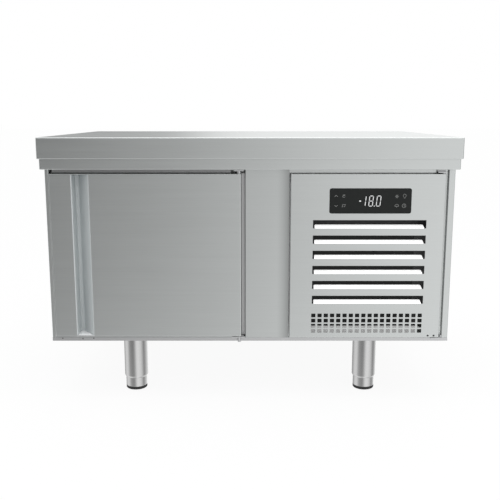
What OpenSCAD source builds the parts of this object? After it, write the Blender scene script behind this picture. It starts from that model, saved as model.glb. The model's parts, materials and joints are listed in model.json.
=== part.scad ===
// Undercounter freezer with one door, a slotted machine compartment panel and four adjustable legs.
// Millimetres. X runs to the viewer's right, Y to the back and Z up.
// The origin is on the floor, under the middle of the worktop.

/* [Overall] */
// Width over the worktop, the widest piece
top_w = 1000; // [960:10:1200]
// Depth over the worktop
top_d = 700; // [690:5:800]
// Height of the worktop's top above the floor
overall_h = 650; // [630:5:700]
// Height of the body's underside above the floor
leg_h = 150; // [130:5:170]

/* [Worktop] */
// Height of the worktop's edge
top_edge_h = 50; // [40:1:60]
// Height of the set-back band under that edge
top_skirt_h = 25; // [18:1:35]
// How far that band is set back all round
top_skirt_inset = 4.5; // [3:0.5:8]
// Thickness of the worktop's sheet
top_sheet = 1.5; // [1:0.1:2]
// Width of the fold under the worktop's edge
top_fold = 25; // [15:1:40]

/* [Body] */
// Overhang of the worktop at each side of the body
side_overhang = 10; // [6:1:20]
// Overhang of the worktop in front of the body's frame
front_overhang = 27; // [20:1:35]
// Overhang of the worktop behind the body
back_overhang = 5; // [2:1:15]
// Thickness of the body's sheet steel
sheet = 1.2; // [0.8:0.1:1.5]
// Thickness of the insulated walls
wall = 60; // [50:1:65]
// Thickness of the compartment's inner liner
liner_t = 1; // [0.8:0.1:2]

/* [Front] */
// Front fold of the left side panel, seen beside the door
return_left = 10; // [8:0.5:14]
// Front fold of the right side panel, seen beside the machine panel
return_right = 16; // [12:1:24]
// Gap between the door and the left fold
door_gap_left = 3; // [2.5:0.5:5]
// Gap between the door's hinged edge and the mullion
door_gap_right = 9.5; // [8.5:0.5:12]
// Gap above the door and the machine panel
front_gap_top = 10.5; // [9:0.5:14]
// Height of the door's lower edge above the body's underside
door_gap_bottom = 14.5; // [14:0.5:20]
// Height of the machine panel's lower edge above the body's underside
panel_gap_bottom = 12; // [11.5:0.5:16]
// How far the door and the machine panel stand out of the frame
front_proud = 12; // [11:0.5:15]
// Width of the mullion between the door and the machine panel
mullion_w = 106.5; // [100:0.5:130]
// Gap between the mullion and the machine panel
panel_gap_left = 2; // [1.5:0.5:4]
// Width of the machine panel
panel_w = 368.5; // [350:0.5:380]
// Gap between the machine panel and the right fold
panel_gap_right = 9; // [7:0.5:14]
// Height of the bottom rail under the door
rail_h = 11; // [10:0.5:11.5]
// Height of the base pan's front flange
flange_h = 8.5; // [7:0.5:9]
// Thickness of that flange in front of the frame
flange_t = 0.8; // [0.6:0.1:1]
// Height of the frame's lintel above the machine panel
lintel_h = 8.5; // [7:0.5:8.5]
// Height of the steel lip behind the lower edge of the machine panel
lip_h = 36; // [25:1:45]

/* [Door] */
// Thickness of the door without its seal
door_t = 60; // [58:1:70]
// Depth of the door's steel skin behind its face
door_skin_depth = 45; // [43:0.5:50]
// How far the inner pan is set in from the door's edges
door_liner_step = 5; // [4:0.5:8]
// Thickness of the inner pan
door_liner_t = 1.5; // [1:0.1:2]
// Thickness of the closed seal
gasket_t = 10; // [8:0.5:14]
// Width of the seal's foot
gasket_w = 16; // [12:0.5:20]
// Width of the seal's soft bulb
gasket_bulb_w = 10; // [6:0.5:11]
// Distance of the finger grip from the door's free edge
grip_inset = 50; // [40:1:80]
// Radius of the folded edge of the finger grip
grip_fold_r = 4; // [2:0.5:5]
// Depth of the finger grip
grip_depth = 40; // [30:1:41]
// Width of the finger grip's flat bottom
grip_floor = 8; // [6:1:16]
// Width of the finger grip's slanted face
grip_slant = 31; // [20:1:50]
// Distance of the door's and the panel's pivots from their hinged edges
pivot_inset = 5; // [5:0.5:7]
// Distance of those pivots behind the front faces
pivot_back = 7; // [6.5:0.5:8]
// Diameter of the door's hinge pins
door_pin_d = 6; // [5:0.5:6]
// Diameter of the machine panel's hinge pins
panel_pin_d = 5; // [4:0.5:5]
// Radial clearance of a pin in its bore
pin_play = 0.05; // [0.03:0.01:0.1]

/* [Machine panel] */
// Depth of the panel's folded edges
panel_fold = 13; // [10:0.5:18]
// Distance of the slots from the panel's left edge
slot_x = 54.5; // [45:0.5:60]
// Length of the slots
slot_w = 271.5; // [240:0.5:275]
// Height of the slots
slot_h = 20; // [12:0.5:24]
// Distance of the first slot's top below the panel's top
slot_drop = 110.9; // [106:0.1:114]
// Spacing of the slots
slot_pitch = 37.24; // [30:0.01:37.5]
// Height of the plain strip under the grid
grid_margin = 12; // [8:0.5:20]
// Length of the flap bent in from each slot's lower edge
flap_l = 19; // [10:0.5:19.5]
// Angle of the flaps from upright
flap_angle = 66; // [30:1:75]
// Relief notch at each end of a flap
flap_notch = 3; // [1:0.5:5]
// Width of the holes in the grid
hole_w = 10.5; // [6:0.1:12]
// Height of the holes in the grid
hole_h = 9.4; // [5:0.1:10.5]
// Spacing of the holes across
hole_pitch_x = 15.35; // [13:0.05:15.4]
// Spacing of the holes up and down
hole_pitch_z = 13.07; // [11.5:0.01:13.1]
// Number of holes across
hole_nx = 18; // [4:1:18]
// Number of rows of holes
hole_nz = 4; // [1:1:5]
// Distance of the grid's top below the last slot's lower edge
hole_drop = 24.6; // [15:0.1:25]
// Distance of the display from the panel's left edge
display_x = 91.8; // [85:0.1:110]
// Width of the display
display_w = 198.6; // [150:0.1:200]
// Height of the display
display_h = 60; // [40:0.5:62]
// Distance of the display's top below the panel's top
display_drop = 34.4; // [32:0.1:42]
// Corner radius of the display
display_r = 4.5; // [2:0.5:8]
// Thickness of the display's glass
glass_t = 2; // [1.6:0.1:4]
// Depth of the controller behind the glass
controller_depth = 32; // [20:1:36]
// Spacing of the two screws in the panel's lower corner
screw_pitch = 14.5; // [10:0.5:15]
// Diameter of the holes over those screws
screw_hole_d = 5; // [4:0.1:6]

/* [Legs] */
// Distance of the legs from the sides of the body
leg_side_inset = 193; // [150:1:200]
// Distance of the legs from the front frame and from the back
leg_end_inset = 80; // [60:1:100]
// Outer diameter of a leg
leg_d = 60; // [50:0.5:65]
// Wall thickness of a leg
leg_wall = 2.9; // [2.5:0.1:4]
// Height of a leg's lower end above the floor
leg_end_h = 32; // [28:1:40]
// Height of the chamfer at a leg's lower end
leg_chamfer = 4; // [2:0.5:6]
// Radial play of the adjustable foot in the leg
foot_play = 0.1; // [0.05:0.01:0.1]
// Length of the adjustable foot above its rubber tip
foot_l = 72; // [68:1:85]
// Wall thickness of the adjustable foot
foot_wall = 3; // [2:0.5:4]
// Height of the rubber tip
tip_h = 8; // [6:0.5:12]
// Radius at the rubber tip's lower edge
tip_r = 3; // [1:0.5:5]
// Diameter of the leg bolts
bolt_d = 12; // [10:1:14]
// Width of the square plates under the legs' bolts
plate_w = 70; // [60:1:76]
// Thickness of those plates
plate_t = 4; // [3:0.5:6]

/* [Shelf] */
// Play at each side of the wire shelf
shelf_play = 12; // [8:0.5:14]
// Distance of the wire shelf from the frame in front
shelf_front_gap = 12; // [4:0.5:40]
// Distance of the wire shelf from the liner behind
shelf_back_gap = 5.8; // [2:0.1:20]
// Height of the shelf's ledges above the compartment's floor
shelf_up = 156; // [80:1:240]
// Diameter of the shelf's frame wire
shelf_frame_d = 6; // [5:0.5:8]
// Diameter of the shelf's fill wires
shelf_wire_d = 3.5; // [2.5:0.5:4]
// Number of fill wires
shelf_wire_n = 13; // [6:1:20]
// Width of the shelf uprights
upright_w = 12; // [10:1:16]
// Thickness of the shelf uprights
upright_t = 10; // [8:1:12]

/* [Cooling] */
// Width of the side strip, right of the door's opening, that holds the evaporator
evaporator_strip = 94.5; // [90:0.5:110]
// Diameter of the evaporator's fan
evaporator_fan_d = 150; // [120:5:160]
// Width of the condenser across its fins
condenser_w = 266; // [240:1:266]
// Diameter of the condenser's fan
condenser_fan_d = 210; // [180:2:210]
// Diameter of the fan shafts
fan_shaft_d = 6; // [5:0.5:8]
// Gap round the tips of the fans
fan_gap = 3; // [2:0.5:6]
// Diameter of the coils' tubes
coil_tube_d = 10; // [8:0.5:12]
// Spacing of the fins
fin_pitch = 12; // [8:0.5:16]
// Thickness of the fins
fin_t = 0.6; // [0.4:0.1:1]
// Diameter of the compressor's shell
compressor_d = 160; // [140:2:180]
// Height of the compressor's shell
compressor_h = 170; // [140:5:190]
// Diameter of the refrigerant pipes
pipe_d = 8; // [6:0.5:10]
// Diameter of the liquid line
liquid_d = 6; // [4:0.5:8]
// Diameter of the drain pipe
drain_d = 16; // [12:1:20]
// Bore of the cable gland
gland_bore = 9; // [7:0.5:10]

/* [Hidden] */
$fn = 48;
e = 0.5;
arc_steps = 8;

steel = "#b4b7b6";
bright_steel = "#d2d5d4";
foam = "#e9dfb8";
black = "#1c1c1e";
copper = "#b46a3c";
grey_plastic = "#c9cccd";

// The body's faces
xl = side_overhang - top_w / 2;
xr = -xl;
front_y = front_overhang - top_d / 2;
back_y = top_d / 2 - back_overhang;
body_z0 = leg_h;
body_z1 = overall_h - top_edge_h - top_skirt_h;
pan_z = body_z0 + sheet;
face_y = front_y - front_proud;

// The row of pieces across the front
jamb_x = xl + return_left;
door_x0 = jamb_x + door_gap_left;
fold_x = xr - return_right;
panel_x1 = fold_x - panel_gap_right;
panel_x0 = panel_x1 - panel_w;
mullion_x1 = panel_x0 - panel_gap_left;
mullion_x0 = mullion_x1 - mullion_w;
door_x1 = mullion_x0 - door_gap_right;
door_z0 = body_z0 + door_gap_bottom;
front_z1 = body_z1 - front_gap_top;
panel_z0 = body_z0 + panel_gap_bottom;
rail_z = body_z0 + rail_h;
flange_z = body_z0 + flange_h;

// The door's depth and the plane of its seal
skin_y1 = face_y + door_skin_depth;
door_y1 = face_y + door_t;
seal_y = door_y1 + gasket_t;

// The cold compartment
cav_x0 = xl + wall;
cav_x1 = mullion_x1 - wall;
cav_y0 = seal_y + sheet;
cav_y1 = back_y - wall;
cav_z0 = body_z0 + wall;
cav_z1 = body_z1 - wall;
open_x1 = cav_x1 - evaporator_strip;
mullion_back = cav_y0 + wall;
in_z0 = cav_z0 + liner_t;
in_z1 = cav_z1 - liner_t;
in_y1 = cav_y1 - liner_t;
in_x1 = cav_x1 - liner_t;

// The ledges that carry the shelf
ledge_z = in_z0 + shelf_up;
ledge_t = 1.5;
ledge_w = 26;
ledge_h = 16;
ledge_x0 = cav_x0 + liner_t + upright_t;
ledge_x1 = open_x1 - upright_t;
ledge_y0 = cav_y0 + shelf_front_gap;
ledge_y1 = in_y1 - shelf_back_gap;

// The finger grip's outline
grip_x = door_x0 + grip_inset;
grip_run = norm([grip_slant, grip_depth]);

// The pivots
door_pivot = [door_x1 - pivot_inset, face_y + pivot_back];
panel_pivot = [panel_x1 - pivot_inset, face_y + pivot_back];
bracket_t = 2.5;
upper_bracket_t = 3;
bracket_front = 6;
bracket_back = 43;
bracket_side = 18;
upper_bracket_side = 11.5;
bracket_gap = 3;
shoulder_w = 1.5;
shoulder_gap = 0.2;
pin_l = 12;
block_l = 18;
block_h = 14;
panel_bracket_w = 14;
panel_bracket_side = 7;
panel_bracket_back = 8;
side_tab_w = 4;
side_tab_h = 6.5;
panel_pin_l = 10;
panel_block_l = 32;
panel_block_d = 14;
panel_block_h = 8;
knuckle_d = 8;

// The fold behind the lintel, and the lip behind the machine panel's lower edge
lintel_depth = 40;
lip_y = face_y + panel_fold + 6;

// The stops behind the gaps at the hinged edges of the door and of the machine panel
door_stop_w = door_gap_right - 3;
door_stop_y = front_y + 7;
panel_stop_w = panel_gap_right - 1;

// The legs
leg_x = xr - leg_side_inset;
leg_y = [front_y + leg_end_inset, back_y - leg_end_inset];
leg_bore = leg_d - 2 * leg_wall;
foot_d = leg_bore - 2 * foot_play;
leg_cap_t = 4;
bolt_head_h = 7;

// The slots that fit between the display and the grid, and the grid's top
slot_x0 = panel_x0 + slot_x;
grid_h = (hole_nz - 1) * hole_pitch_z + hole_h;
slot_room = front_z1 - panel_z0 - slot_drop - slot_h - hole_drop - grid_h - grid_margin;
slot_n = floor(slot_room / slot_pitch) + 1;
grid_z1 = front_z1 - slot_drop - (slot_n - 1) * slot_pitch - slot_h - hole_drop;

// The coils: tubes in two columns, stacked in rows
end_fin_t = 1.5;
condenser_rows = 6;
coil_row_pitch = 36;
coil_depth = 60;
coil_columns = [15, 45];
coil_margin = 30;
tube_end = 6;
function coil_h(rows) = (rows - 1) * coil_row_pitch + 2 * coil_margin;
hole_play = 0.3;

// The arms that carry a fan's motor
arm_w = 12;
arm_t = 2;
arm_setback = 8;
motor_gap = 1;

// The evaporator's strip
evaporator_fan_depth = 24;
evaporator_hub_d = 44;
evaporator_motor_d = 58;
evaporator_motor_l = 30;
evaporator_fan_x = open_x1 + 8;
evaporator_fan_y = mullion_back + 21 + evaporator_fan_d / 2;
evaporator_fan_z = (in_z0 + in_z1) / 2;
coil_x0 = open_x1 + 22;
coil_y0 = evaporator_fan_y + evaporator_fan_d / 2 + 35;
coil_floor_gap = 20;
coil_z0 = in_z0 + coil_floor_gap;
coil_room = in_z1 - coil_z0 - 2 * coil_margin - coil_floor_gap;
evaporator_rows = floor(coil_room / coil_row_pitch) + 1;
coil_z1 = coil_z0 + coil_h(evaporator_rows);
evaporator_fin_n = floor((in_y1 - 44 - coil_y0) / fin_pitch);
coil_y1 = coil_y0 + evaporator_fin_n * fin_pitch + end_fin_t;
drain_tray_h = 17;
drain_y = coil_y0 + 40;
drain_z = in_z0 + drain_d / 2 + 1;
line_y = coil_y0 - 14;
suction_z = coil_z0 + coil_margin;
liquid_z = suction_z - pipe_d - 7;

// The machine compartment
mx1 = xr - sheet;
my1 = back_y - sheet;
condenser_x0 = panel_x0 + 44;
condenser_fin_n = floor((condenser_w - end_fin_t) / fin_pitch);
condenser_x1 = condenser_x0 + condenser_fin_n * fin_pitch + end_fin_t;
condenser_y0 = front_y + 31;
condenser_z0 = pan_z + 24;
condenser_z1 = condenser_z0 + coil_h(condenser_rows);
condenser_low = condenser_z0 + coil_margin;
shroud_t = 1.5;
shroud_gap = 4;
shroud_y0 = condenser_y0 + coil_depth;
shroud_y1 = shroud_y0 + 32;
condenser_fan_depth = 26;
condenser_hub_d = 62;
condenser_motor_d = 84;
condenser_motor_l = 48;
condenser_fan_x = (condenser_x0 + condenser_x1) / 2;
condenser_fan_z = (condenser_z0 + condenser_z1) / 2;
compressor_x = condenser_fan_x + 16;
compressor_y = my1 - 194;
mount_h = 20;
compressor_z = pan_z + mount_h;
compressor_foot = 150;
boss_l = 14;
boss_d = 14;
boss_root = 20;
mount_inset = 14;
mount_d = 24;
discharge_z = compressor_z + compressor_h - 70;
return_z = compressor_z + 60;
riser_x = mullion_x1 + pipe_d;
drier_d = 20;
drier_x = mullion_x1 + 2 + drier_d / 2;
drier_y = [shroud_y1, shroud_y1 + 100];
drier_z = condenser_low - 16;
tray_x = mullion_x1 + 12;
tray_y = drain_y - 18;
tray_w = 80;
tray_l = 200;
tray_h = 48;
tray_wall = 2;
gland_x = mx1 - 60;
gland_z = body_z0 + 60;
gland_d = 20;
gland_nut_d = 28;
gland_nut_l = back_overhang - 0.5;
gland_tail_l = 20;

// A box between two corners
module box(lo, hi) {
  translate(lo) cube(hi - lo);
}

// A frame between two boxes seen from the front, from y0 to y1
module ring_y(outer, inner, y0, y1) {
  difference() {
    box([outer[0], y0, outer[2]], [outer[1], y1, outer[3]]);
    box([inner[0], y0 - e, inner[2]], [inner[1], y1 + e, inner[3]]);
  }
}

// An upright cylinder
module post(x, y, z0, z1, d) {
  translate([x, y, z0]) cylinder(d = d, h = z1 - z0);
}

// A cylinder from one point to another
module rod(p, q, d) {
  v = q - p;
  translate(p) rotate([0, acos(v[2] / norm(v)), atan2(v[1], v[0])]) cylinder(d = d, h = norm(v));
}

// A bent pipe through points, with a ball at each bend
module pipe(points, d) {
  for (i = [0:len(points) - 2]) {
    rod(points[i], points[i + 1], d);
    if (i > 0) translate(points[i]) sphere(d = d);
  }
}

// A flat plate with round corners, standing across the front, from y0 to y1
module rounded_y(x0, x1, z0, z1, r, y0, y1) {
  box([x0 + r, y0, z0], [x1 - r, y1, z1]);
  box([x0, y0, z0 + r], [x1, y1, z1 - r]);
  for (x = [x0 + r, x1 - r], z = [z0 + r, z1 - r]) {
    translate([x, y0, z]) rotate([-90, 0, 0]) cylinder(r = r, h = y1 - y0);
  }
}

// Everything at the four legs, called with the leg's place
module at_legs() {
  for (x = [-leg_x, leg_x], y = leg_y) translate([x, y, 0]) children();
}

module worktop() {
  t = top_sheet;
  f = top_fold;
  z = overall_h - top_edge_h;
  color(steel) difference() {
    box([-top_w / 2, -top_d / 2, z], [top_w / 2, top_d / 2, overall_h]);
    box([t - top_w / 2, t - top_d / 2, z + t], [top_w / 2 - t, top_d / 2 - t, overall_h - t]);
    box([f - top_w / 2, f - top_d / 2, z - e], [top_w / 2 - f, top_d / 2 - f, overall_h - t]);
  }
}

module worktop_core() {
  t = top_sheet;
  f = top_fold;
  s = top_skirt_inset + sheet;
  z = overall_h - top_edge_h;
  color(foam) {
    box([t - top_w / 2, t - top_d / 2, z + t], [top_w / 2 - t, top_d / 2 - t, overall_h - t]);
    box([f - top_w / 2, f - top_d / 2, z - 1], [top_w / 2 - f, top_d / 2 - f, z + t + 1]);
    box([s - top_w / 2, s - top_d / 2, body_z1 + sheet], [top_w / 2 - s, top_d / 2 - s, z]);
  }
}

module top_frame() {
  o = top_skirt_inset;
  i = o + sheet;
  z = overall_h - top_edge_h;
  color(steel) difference() {
    box([o - top_w / 2, o - top_d / 2, body_z1], [top_w / 2 - o, top_d / 2 - o, z]);
    box([i - top_w / 2, i - top_d / 2, body_z1 + sheet], [top_w / 2 - i, top_d / 2 - i, z + e]);
  }
}

module side_panel_left() {
  color(steel) {
    box([xl, front_y, pan_z], [xl + sheet, back_y, body_z1]);
    box([xl, front_y, pan_z], [jamb_x, front_y + sheet, body_z1]);
    box([jamb_x - sheet, front_y, pan_z], [jamb_x, cav_y0, body_z1]);
  }
}

module side_panel_right() {
  color(steel) {
    box([xr - sheet, front_y, pan_z], [xr, back_y, body_z1]);
    box([fold_x, front_y, pan_z], [xr, front_y + sheet, body_z1]);
    box([fold_x, front_y, pan_z], [fold_x + sheet, lip_y + sheet, body_z1]);
    box([fold_x - panel_stop_w, lip_y, flange_z], [fold_x, lip_y + sheet, body_z1 - sheet]);
  }
}

module back_panel() {
  vent_w = 90;
  vent_h = 6;
  vent_pitch = 16;
  vent_x = compressor_x - vent_w / 2;
  color(steel) difference() {
    box([xl + sheet, my1, pan_z], [xr - sheet, back_y, body_z1]);
    for (i = [0:9]) {
      z = discharge_z + i * vent_pitch;
      box([vent_x, my1 - e, z], [vent_x + vent_w, back_y + e, z + vent_h]);
    }
    translate([gland_x, my1 - e, gland_z]) rotate([-90, 0, 0]) cylinder(d = gland_d, h = sheet + 2 * e);
  }
}

module base_pan() {
  color(steel) difference() {
    union() {
      box([xl, front_y - flange_t, body_z0], [xr, back_y, pan_z]);
      box([xl, front_y - flange_t, body_z0], [xr, front_y, flange_z]);
    }
    at_legs() post(0, 0, body_z0 - e, pan_z + e, bolt_d + hole_play);
  }
}

// The room that the legs' plates and bolts take in the foam
module leg_pockets() {
  at_legs() {
    box([-plate_w / 2, -plate_w / 2, pan_z - e], [plate_w / 2, plate_w / 2, pan_z + plate_t]);
    post(0, 0, pan_z - e, pan_z + plate_t + 14, bolt_d + 2);
  }
}

// The room that the refrigerant lines and the drain take in the right wall
module service_holes() {
  for (h = [[line_y, suction_z, pipe_d], [line_y, liquid_z, liquid_d], [drain_y, drain_z, drain_d]]) {
    rod([in_x1 - e, h[0], h[1]], [mullion_x1 + e, h[0], h[1]], h[2] + 2 * hole_play);
  }
}

module insulation_left() {
  color(foam) box([xl + sheet, cav_y0, pan_z], [cav_x0, my1, body_z1]);
}

module insulation_back() {
  color(foam) difference() {
    box([cav_x0, cav_y1, pan_z], [cav_x1, my1, body_z1]);
    leg_pockets();
  }
}

module insulation_floor_and_ceiling() {
  color(foam) {
    difference() {
      box([cav_x0, cav_y0, pan_z], [cav_x1, cav_y1, cav_z0]);
      leg_pockets();
    }
    box([cav_x0, cav_y0, cav_z1], [cav_x1, cav_y1, body_z1]);
  }
}

module insulation_divider() {
  color(foam) difference() {
    union() {
      box([cav_x1, front_y + sheet, pan_z], [mullion_x1 - sheet, my1, body_z1]);
      box([mullion_x0 + sheet, front_y + sheet, pan_z], [cav_x1, cav_y0, body_z1]);
      box([open_x1, cav_y0, cav_z0], [cav_x1, mullion_back, cav_z1]);
    }
    service_holes();
  }
}

module inner_liner() {
  t = liner_t;
  color(bright_steel) difference() {
    union() {
      box([cav_x0, cav_y0, cav_z0], [open_x1, cav_y1, cav_z1]);
      box([cav_x0, mullion_back, cav_z0], [cav_x1, cav_y1, cav_z1]);
    }
    box([cav_x0 + t, cav_y0 - e, in_z0], [open_x1 - t, in_y1, in_z1]);
    box([cav_x0 + t, mullion_back + t, in_z0], [in_x1, in_y1, in_z1]);
    service_holes();
  }
}

module door_frame() {
  color(steel) {
    ring_y([jamb_x, mullion_x0, rail_z - sheet, body_z1], [cav_x0, open_x1, cav_z0, cav_z1],
           seal_y, cav_y0);
    box([jamb_x, front_y, body_z1 - sheet], [mullion_x0, seal_y, body_z1]);
  }
}

module mullion_cover() {
  color(steel) {
    box([mullion_x0, front_y, pan_z], [mullion_x1, front_y + sheet, body_z1]);
    box([mullion_x0, front_y, pan_z], [mullion_x0 + sheet, cav_y0, body_z1]);
    box([mullion_x0 - door_stop_w, door_stop_y, door_z0],
        [mullion_x0, door_stop_y + sheet, front_z1]);
  }
}

module divider_panel() {
  color(steel) difference() {
    box([mullion_x1 - sheet, front_y + sheet, pan_z], [mullion_x1, my1, body_z1]);
    service_holes();
  }
}

module lintel_rail() {
  z = body_z1 - lintel_h;
  notch_x = panel_pivot[0] - panel_bracket_w - 2;
  color(steel) difference() {
    union() {
      box([mullion_x1, front_y, z], [fold_x, front_y + sheet, body_z1]);
      box([mullion_x1, front_y, body_z1 - sheet], [fold_x, front_y + lintel_depth, body_z1]);
    }
    box([notch_x, front_y - e, z - e], [fold_x + e, front_y + sheet + e, body_z1 - sheet]);
  }
}

module bottom_rail() {
  color(steel) {
    box([jamb_x, front_y, pan_z], [mullion_x0, front_y + sheet, rail_z]);
    box([jamb_x, front_y, rail_z - sheet], [mullion_x0, seal_y, rail_z]);
    box([mullion_x1, front_y, pan_z], [fold_x, front_y + sheet, flange_z]);
    box([mullion_x1, front_y, flange_z - sheet], [fold_x, lip_y, flange_z]);
    box([mullion_x1, lip_y - sheet, flange_z - sheet], [fold_x, lip_y, body_z0 + lip_h]);
  }
}

module leg_plates() {
  color(bright_steel) difference() {
    at_legs() box([-plate_w / 2, -plate_w / 2, pan_z], [plate_w / 2, plate_w / 2, pan_z + plate_t]);
    at_legs() post(0, 0, pan_z - e, pan_z + plate_t + e, bolt_d + 2 * pin_play);
  }
}

module leg_bolts() {
  head_z = body_z0 - leg_cap_t;
  color(bright_steel) at_legs() {
    translate([0, 0, head_z - bolt_head_h]) cylinder(d = bolt_d * 1.7, h = bolt_head_h, $fn = 6);
    post(0, 0, head_z - 1, pan_z + plate_t + 10, bolt_d);
  }
}

module leg_tubes() {
  color(bright_steel) at_legs() difference() {
    union() {
      post(0, 0, leg_end_h + leg_chamfer, body_z0, leg_d);
      translate([0, 0, leg_end_h])
        cylinder(d1 = leg_bore + 1, d2 = leg_d, h = leg_chamfer);
    }
    post(0, 0, leg_end_h - e, body_z0 - leg_cap_t, leg_bore);
    post(0, 0, body_z0 - leg_cap_t - e, body_z0 + e, bolt_d + hole_play);
  }
}

// The adjustable foot of one leg
module foot_insert(x, y) {
  color(bright_steel) difference() {
    post(x, y, tip_h, tip_h + foot_l, foot_d);
    post(x, y, tip_h + foot_wall + 3, tip_h + foot_l + e, foot_d - 2 * foot_wall);
  }
}

// The rubber tip of one leg, with its lower edge rounded
module foot_tip(x, y) {
  r = foot_d / 2;
  arc = [for (i = [0:arc_steps]) let (a = 90 * i / arc_steps)
    [r - tip_r + tip_r * sin(a), tip_r - tip_r * cos(a)]];
  color(black) translate([x, y, 0]) rotate_extrude()
    polygon(concat([[0, 0]], arc, [[r, tip_h], [0, tip_h]]));
}

module shelf_uprights() {
  ys = [cav_y0 + 30, in_y1 - 30 - upright_w];
  color(bright_steel) for (y = ys) {
    box([cav_x0 + liner_t, y, in_z0], [cav_x0 + liner_t + upright_t, y + upright_w, in_z1]);
    box([open_x1 - upright_t, max(y, mullion_back + 4), in_z0],
        [open_x1, max(y, mullion_back + 4) + upright_w, in_z1]);
  }
}

module shelf_runners() {
  color(bright_steel) {
    for (x = [ledge_x0, ledge_x1 - ledge_w]) {
      box([x, ledge_y0, ledge_z - ledge_t], [x + ledge_w, ledge_y1, ledge_z]);
    }
    for (x = [ledge_x0, ledge_x1 - ledge_t]) {
      box([x, ledge_y0, ledge_z - ledge_t], [x + ledge_t, ledge_y1, ledge_z + ledge_h]);
    }
  }
}

module wire_shelf() {
  f = shelf_frame_d;
  x0 = ledge_x0 + shelf_play + f / 2;
  x1 = ledge_x1 - shelf_play - f / 2;
  y0 = ledge_y0 + f / 2;
  y1 = ledge_y1 - f / 2;
  z = ledge_z + f / 2;
  step = (x1 - x0) / (shelf_wire_n + 1);
  color(bright_steel) {
    pipe([[x0, y0, z], [x1, y0, z], [x1, y1, z], [x0, y1, z], [x0, y0, z]], f);
    translate([x0, y0, z]) sphere(d = f);
    for (i = [1:shelf_wire_n]) rod([x0 + i * step, y0, z], [x0 + i * step, y1, z], shelf_wire_d);
    for (k = [1, 2]) {
      y = y0 + k * (y1 - y0) / 3;
      rod([x0, y, z - 1], [x1, y, z - 1], f - 2);
    }
  }
}

// A coil's column: straight tubes along Y stacked in Z, with return bends
module coil_column(x, y0, y1, z0, rows) {
  p = coil_row_pitch;
  d = coil_tube_d;
  for (i = [0:rows - 1]) rod([x, y0, z0 + i * p], [x, y1, z0 + i * p], d);
  for (i = [0:rows - 2]) {
    back = i % 2 == 0;
    translate([x, back ? y1 : y0, z0 + (i + 0.5) * p]) rotate([0, 90, 0])
      rotate([0, 0, back ? 0 : 180]) rotate_extrude(angle = 180) translate([p / 2, 0]) circle(d = d);
  }
}

// Both columns of a coil, joined at the top by a crossover
module coil(x0, y0, y1, z0, rows) {
  top = z0 + (rows - 1) * coil_row_pitch;
  a = x0 + coil_columns[0];
  b = x0 + coil_columns[1];
  c = y0 - coil_tube_d * 0.7;
  coil_column(a, y0, y1, z0, rows);
  coil_column(b, y0, y1, z0, rows);
  pipe([[a, y0 + 1, top], [a, c, top], [b, c, top], [b, y0 + 1, top]], coil_tube_d - 1);
}

// The holes for a coil's tubes
module coil_holes(x0, y0, y1, z0, rows) {
  for (c = coil_columns, i = [0:rows - 1]) {
    z = z0 + i * coil_row_pitch;
    rod([x0 + c, y0, z], [x0 + c, y1, z], coil_tube_d + 0.2);
  }
}

module evaporator_fins() {
  color("#d9dcde") difference() {
    union() {
      for (i = [1:evaporator_fin_n - 1]) {
        y = coil_y0 + i * fin_pitch;
        box([coil_x0, y, coil_z0], [coil_x0 + coil_depth, y + fin_t, coil_z1]);
      }
      for (y = [coil_y0, coil_y1 - end_fin_t]) {
        box([coil_x0, y, in_z0 + drain_tray_h], [in_x1, y + end_fin_t, coil_z1]);
      }
    }
    coil_holes(coil_x0, coil_y0 - e, coil_y1 + e, suction_z, evaporator_rows);
  }
}

module evaporator_tubes() {
  color(copper)
    coil(coil_x0, coil_y0 - tube_end, coil_y1 + tube_end, suction_z, evaporator_rows);
}

module evaporator_cover() {
  x1 = open_x1 + liner_t;
  inset = 16;
  vent_h = 12;
  vent_pitch = 24;
  vents = floor((coil_z1 - coil_z0 - 2 * inset - vent_h) / vent_pitch);
  color(bright_steel) difference() {
    box([open_x1, mullion_back + liner_t, in_z0], [x1, in_y1, in_z1]);
    rod([open_x1 - e, evaporator_fan_y, evaporator_fan_z],
        [x1 + e, evaporator_fan_y, evaporator_fan_z], evaporator_fan_d + 2 * fan_gap);
    for (i = [0:vents]) {
      z = coil_z0 + inset + i * vent_pitch;
      box([open_x1 - e, coil_y0 + inset, z], [x1 + e, coil_y1 - inset, z + vent_h]);
    }
  }
}

// A fan with flat tilted blades, its axis along Z and its front at z = 0
module fan(d, hub_d, depth) {
  blades = 5;
  tilt = 30;
  chord = depth * 1.6;
  difference() {
    union() {
      cylinder(d = hub_d, h = depth);
      intersection() {
        cylinder(d = d, h = depth);
        for (i = [0:blades - 1]) rotate(i * 360 / blades) {
          translate([hub_d / 2 - 2, 0, depth / 2]) rotate([tilt, 0, 0]) translate([0, -chord / 2, -1])
            cube([d / 2, chord, 2]);
        }
      }
    }
    translate([0, 0, -e]) cylinder(d = fan_shaft_d + 2 * pin_play, h = depth + 2 * e);
  }
}

// A motor behind its fan, with the shaft and three arms that reach forward to a plate at z = plate_z
module fan_motor(body_d, body_l, depth, reach, plate_z) {
  z = depth + arm_setback;
  w = arm_w / 2;
  post(0, 0, arm_t, depth + arm_t, fan_shaft_d);
  post(0, 0, depth + motor_gap, depth + motor_gap + body_l, body_d);
  for (i = [0:2]) rotate(30 + i * 120) {
    box([body_d / 2 - 1, -w, z], [reach + w, w, z + arm_t]);
    box([reach - w + 1, -w, plate_z], [reach + w, w, z + arm_t]);
  }
}

// Places a fan behind the evaporator's cover, axis along +X
module at_evaporator_fan() {
  translate([evaporator_fan_x, evaporator_fan_y, evaporator_fan_z]) rotate([0, 90, 0]) children();
}

// Places a fan behind the condenser's shroud, axis along +Y
module at_condenser_fan() {
  translate([condenser_fan_x, shroud_y1 + shroud_gap, condenser_fan_z]) rotate([-90, 0, 0]) children();
}

module evaporator_fan() {
  color(black) at_evaporator_fan() fan(evaporator_fan_d, evaporator_hub_d, evaporator_fan_depth);
}

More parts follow.
